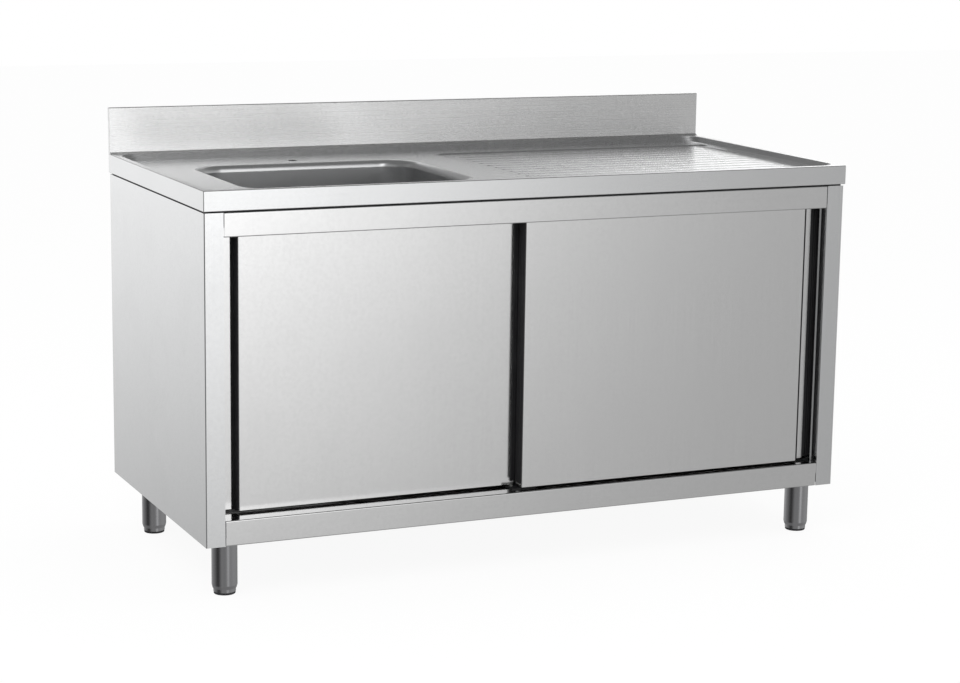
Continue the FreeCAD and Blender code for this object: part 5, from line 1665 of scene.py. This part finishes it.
# --- Legs -----------------------------------------------------------------------------------------
@dataclass
class Leg:
    """One leg with its plate, its telescoping foot and the pad under it."""

    place: str
    radius: float = 27 * MM
    wall: float = 2 * MM
    lip: float = 0.9 * MM
    foot_radius: float = 23.5 * MM
    foot_clearance: float = 0.35 * MM
    foot_wall: float = 2 * MM
    taper_top: float = 20 * MM
    taper_bottom: float = 12.5 * MM
    plate_thickness: float = 3 * MM
    sleeve_top: float = 58 * MM
    pad_height: float = 4.5 * MM
    pad_inset: float = 0.7 * MM
    spigot_radius: float = 9 * MM
    floor_thickness: float = 3.5 * MM
    spindle_radius: float = 8 * MM
    spindle_top: float = 140 * MM
    spindle_ease: float = 1 * MM
    foot_ease: float = 0.6 * MM
    plate_edge: float = 0.8 * MM
    turn_steps: int = 72

    def tube(self) -> bpy.types.Object:
        """The tube with its tapered lip, and the plate welded to its top."""
        node = f"{self.place}_leg"
        low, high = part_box(node)
        top = high.z - self.plate_thickness
        mouth = self.foot_radius + self.foot_clearance
        inner = self.radius - self.wall
        rise = self.taper_top - self.taper_bottom
        outline = ((mouth, self.taper_bottom), (mouth + self.lip, self.taper_bottom),
                   (mouth + self.lip + 0.3 * MM, self.taper_bottom + 0.4 * MM),
                   (self.radius - 0.5 * MM, self.taper_bottom + 0.75 * rise),
                   (self.radius - 0.12 * MM, self.taper_bottom + 0.92 * rise), (self.radius, self.taper_top),
                   (self.radius, top), (inner, top), (inner, self.taper_top + self.wall / 2),
                   (mouth, self.taper_bottom + self.wall))
        tube = turned("tube", outline, axis_of(node), self.turn_steps)
        plate = slab("plate", Vector((low.x, low.y, top)), high, self.plate_edge)
        return joined(f"{self.place}_leg_tube", [tube, plate])

    def sleeve(self) -> bpy.types.Object:
        """The foot's cup with its spindle."""
        floor_top = self.pad_height + self.floor_thickness
        spigot_top = self.pad_height + self.floor_thickness / 2
        inner = self.foot_radius - self.foot_wall
        outer = self.foot_radius
        spindle = self.spindle_radius
        pad_top = self.pad_height
        outline = ((0.0, spigot_top), (self.spigot_radius, spigot_top), (self.spigot_radius, pad_top),
                   (outer - self.foot_ease, pad_top), (outer, pad_top + self.foot_ease),
                   (outer, self.sleeve_top), (inner, self.sleeve_top), (inner, floor_top),
                   (spindle, floor_top), (spindle, self.spindle_top - self.spindle_ease),
                   (spindle - self.spindle_ease, self.spindle_top), (0.0, self.spindle_top))
        axis = axis_of(f"{self.place}_foot_sleeve")
        return turned(f"{self.place}_foot_cup", outline, axis, self.turn_steps)

    def pad(self) -> bpy.types.Object:
        """The pad that the foot stands on."""
        node = f"{self.place}_foot_pad"
        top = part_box(node)[1].z
        edge = self.foot_radius - self.pad_inset
        ease = self.pad_height / 3
        outline = [(0.0, 0.0), (edge - ease, 0.0)]
        outline.extend((edge - ease + ease * math.sin(turn), ease - ease * math.cos(turn))
                       for turn in (math.pi / 6, math.pi / 3, math.pi / 2))
        outline.extend(((edge, self.pad_height), (self.spigot_radius, self.pad_height),
                        (self.spigot_radius, top), (0.0, top)))
        return turned(f"{self.place}_foot_tip", outline, axis_of(node), self.turn_steps)

    def build(self) -> list[bpy.types.Object]:
        """Builds the leg, its foot and its pad.

        Returns:
            The three pieces.
        """
        foot = f"{self.place}_foot"
        tube, sleeve, pad = self.tube(), self.sleeve(), self.pad()
        # The tube and the foot's cup take the leg steel, which is darkened with painted shade.
        hand_over(tube, "cabinet", (f"{self.place}_leg",), LEG_STEEL_PAINTED_SHADE, smooth_below=20)
        hand_over(sleeve, foot, (f"{foot}_sleeve",), LEG_STEEL_PAINTED_SHADE, smooth_below=20)
        hand_over(pad, foot, (f"{foot}_pad",), BLACK_RUBBER, smooth_below=35)
        return [tube, sleeve, pad]


# --- Carried-over fittings ------------------------------------------------------------------------
@dataclass(frozen=True)
class Fittings:
    """The nodes whose shapes stay as they are, each with its finish."""

    finishes: tuple[tuple[str, Finish], ...] = (
        ("drainer_board", CHIPBOARD), ("worktop_stiffeners", PLAIN_STEEL), ("spacer_strip", BLACK_PLASTIC),
        ("back_panel", PLAIN_STEEL), ("rear_top_rail", PLAIN_STEEL), ("door_track", PLAIN_STEEL),
        ("track_end_stops", BLACK_RUBBER), ("rail_screws", ZINC), ("floor_guide", BLACK_PLASTIC),
        ("waste_gasket", BLACK_RUBBER), ("waste_nut", WHITE_PLASTIC), ("waste_body", WHITE_PLASTIC),
        ("standpipe_seal", BLACK_RUBBER), ("leg_bushes", ZINC), ("leg_bolts", ZINC),
    )

    def build(self) -> list[bpy.types.Object]:
        """Dresses each node.

        Returns:
            No new pieces.
        """
        for name, finish in self.finishes:
            dress_node(name, finish)
        return []


# --- Studio ---------------------------------------------------------------------------------------
@dataclass(frozen=True)
class SoftPanel:
    """A soft-edged bright or dark patch of the room: its place and half sizes in degrees, and its light."""

    azimuth: float
    elevation: float
    half_width: float
    half_height: float
    light: float

    def seen_from(self, board: NodeBoard, azimuth: bpy.types.NodeSocket,
                  elevation: bpy.types.NodeSocket) -> bpy.types.NodeSocket:
        """The panel's light in a direction.

        Args:
            board: The world's board.
            azimuth: The direction's azimuth in radians.
            elevation: Its elevation in radians.

        Returns:
            The socket of the light.
        """
        aside = board.sum("SUBTRACT", azimuth, math.radians(self.azimuth))
        aside = board.sum("ARCTAN2", board.sum("SINE", aside, 0.0), board.sum("COSINE", aside, 0.0))
        aside = board.sum("POWER", board.sum("DIVIDE", aside, math.radians(self.half_width)), 2.0)
        above = board.sum("SUBTRACT", elevation, math.radians(self.elevation))
        above = board.sum("POWER", board.sum("DIVIDE", above, math.radians(self.half_height)), 2.0)
        falloff = board.sum("EXPONENT", board.sum("MULTIPLY", board.sum("ADD", aside, above), -1.0), 0.0)
        return board.sum("MULTIPLY", falloff, self.light)


@dataclass(frozen=True)
class SoftLamp:
    """A large soft lamp: its place, what it points at, the side of its square and its power in watts."""

    name: str
    place: Vector
    target: Vector
    side: float
    power: float

    def hang(self) -> None:
        """Hangs the lamp, which the steel does not mirror."""
        data = bpy.data.lights.new(self.name, "AREA")
        data.size = self.side
        data.energy = self.power
        lamp = bpy.data.objects.new(self.name, data)
        lamp.visible_glossy = False
        bpy.context.collection.objects.link(lamp)
        aim = (self.target - self.place).to_track_quat("-Z", "Y").to_matrix().to_4x4()
        lamp.matrix_world = Matrix.Translation(self.place) @ aim


@dataclass
class Studio:
    """The camera, the plain floor, the soft lamps and the light room that the steel mirrors."""

    lens: float = 88.53
    sensor: float = 36.0
    camera_place: Vector = Vector((-2.161, -4.814, 1.447))
    yaw: float = math.radians(24.32)
    pitch: float = math.radians(10.86)
    roll: float = math.radians(0.83)
    walls: float = 0.36
    ceiling: float = 0.16
    ceiling_from: float = math.radians(18)
    ceiling_whole: float = math.radians(45)
    fill: float = 0.8
    floor_tone: float = 0.97
    floor_glow: float = 0.93
    floor_half: float = 14.0
    floor_gap: float = 0.4 * MM
    panels: tuple[SoftPanel, ...] = (
        # In front: what the doors, the rails and the splashback mirror.
        SoftPanel(14.5, 2.5, 10.5, 14.5, 1.8),
        # Higher in front: what the ledges and the bowl's lip mirror.
        SoftPanel(12, 36, 8.5, 15, 2.7),
        # A weak glow at the right.
        SoftPanel(75, -5, 45, 25, 0.20),
        # Behind at the left: what the left side mirrors.
        SoftPanel(-163, -2, 22, 11.5, 0.85),
        # Behind at the right: what the worktop's flats mirror.
        SoftPanel(146, 20, 6.5, 11, 2.4),
        # Dark, behind at the left: what the right rim mirrors.
        SoftPanel(-145, 18, 14, 11, -0.30),
        # Dark at the left, with a soft light low in it: what the legs mirror.
        SoftPanel(-78, -8, 32, 34, -0.31),
        SoftPanel(-45, -28, 15, 10, 0.30),
    )
    lamps: tuple[SoftLamp, ...] = (
        SoftLamp("key_lamp", Vector((-2.6, -2.4, 3.4)), Vector((0, 0, 0.6)), 2.4, 60),
        SoftLamp("top_lamp", Vector((0.6, 0.3, 3.6)), Vector((0.2, 0, 0.8)), 2.2, 30),
    )

    def camera(self) -> None:
        """Places the camera where the photograph was taken from."""
        data = bpy.data.cameras.new("studio_camera")
        data.lens = self.lens
        data.sensor_width = self.sensor
        data.clip_end = 50
        camera = bpy.data.objects.new("studio_camera", data)
        bpy.context.collection.objects.link(camera)
        level = math.cos(self.pitch)
        way = Vector((math.sin(self.yaw) * level, math.cos(self.yaw) * level, -math.sin(self.pitch)))
        turn = way.to_track_quat("-Z", "Y").to_matrix().to_4x4() @ Matrix.Rotation(self.roll, 4, "Z")
        camera.matrix_world = Matrix.Translation(self.camera_place) @ turn
        bpy.context.scene.camera = camera

    def light_room(self) -> None:
        """The room round the unit: white to the camera, softly graded in the steel."""
        world = bpy.data.worlds.new("light_room")
        bpy.context.scene.world = world
        world.use_nodes = True
        board = NodeBoard(world.node_tree)
        world.node_tree.nodes.clear()
        way = board.add("ShaderNodeSeparateXYZ")
        board.join(board.add("ShaderNodeTexCoord").outputs["Generated"], way.inputs[0])
        front = board.sum("MULTIPLY", way.outputs["Y"], -1.0)
        azimuth = board.sum("ARCTAN2", way.outputs["X"], front)
        elevation = board.sum("ARCSINE", way.outputs["Z"], 0.0)
        light = board.spread(elevation, (self.ceiling_from, self.ceiling_whole, self.walls, self.ceiling))
        for panel in self.panels:
            light = board.sum("ADD", light, panel.seen_from(board, azimuth, elevation))
        mirrored = board.white_light("ShaderNodeBackground")
        board.join(light, mirrored.inputs["Strength"])
        fill = board.white_light("ShaderNodeBackground", self.fill)
        path = board.add("ShaderNodeLightPath")
        seen = board.blend(path.outputs["Is Glossy Ray"], fill, mirrored)
        clear = board.sum("MAXIMUM", path.outputs["Is Camera Ray"], path.outputs["Is Transmission Ray"])
        last = board.blend(clear, seen, board.white_light("ShaderNodeBackground"))
        board.join(last.outputs[0], board.add("ShaderNodeOutputWorld").inputs["Surface"])

    def floor(self) -> None:
        """The pale floor, which keeps a faint shadow of the unit."""
        half = self.floor_half
        ground = add_plane("studio_floor", (-half, half, -half, half), -self.floor_gap)
        material = bpy.data.materials.new("studio_floor")
        material.use_nodes = True
        board = NodeBoard(material.node_tree)
        material.node_tree.nodes.clear()
        matte = board.add("ShaderNodeBsdfDiffuse")
        matte.inputs["Color"].default_value = (self.floor_tone, self.floor_tone, self.floor_tone, 1)
        path = board.add("ShaderNodeLightPath")
        glow_share = board.sum("MULTIPLY", path.outputs["Is Camera Ray"], self.floor_glow)
        bright = board.blend(glow_share, matte, board.white_light("ShaderNodeEmission"))
        last = board.blend(path.outputs["Is Glossy Ray"], bright, board.add("ShaderNodeBsdfTransparent"))
        board.join(last.outputs[0], board.add("ShaderNodeOutputMaterial").inputs["Surface"])
        ground.data.materials.append(material)

    def build(self) -> list[bpy.types.Object]:
        """Sets up the whole studio.

        Returns:
            No pieces of the unit.
        """
        bpy.context.scene.view_settings.view_transform = "Standard"
        self.camera()
        self.light_room()
        self.floor()
        for lamp in self.lamps:
            lamp.hang()
        return []


def main() -> None:
    """Builds every sub-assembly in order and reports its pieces."""
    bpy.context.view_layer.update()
    makers = [Studio(), Worktop(), Bowl(), Cabinet(), SlidingDoor(Side.LEFT), SlidingDoor(Side.RIGHT)]
    makers.extend(Leg(f"{end}_{side}") for end in ("front", "rear") for side in ("left", "right"))
    makers.append(Fittings())
    for maker in makers:
        pieces = maker.build()
        LOG.info("%s: %d new pieces", type(maker).__name__, len(pieces))
    clear_selection()


if __name__ == "__main__":
    main()
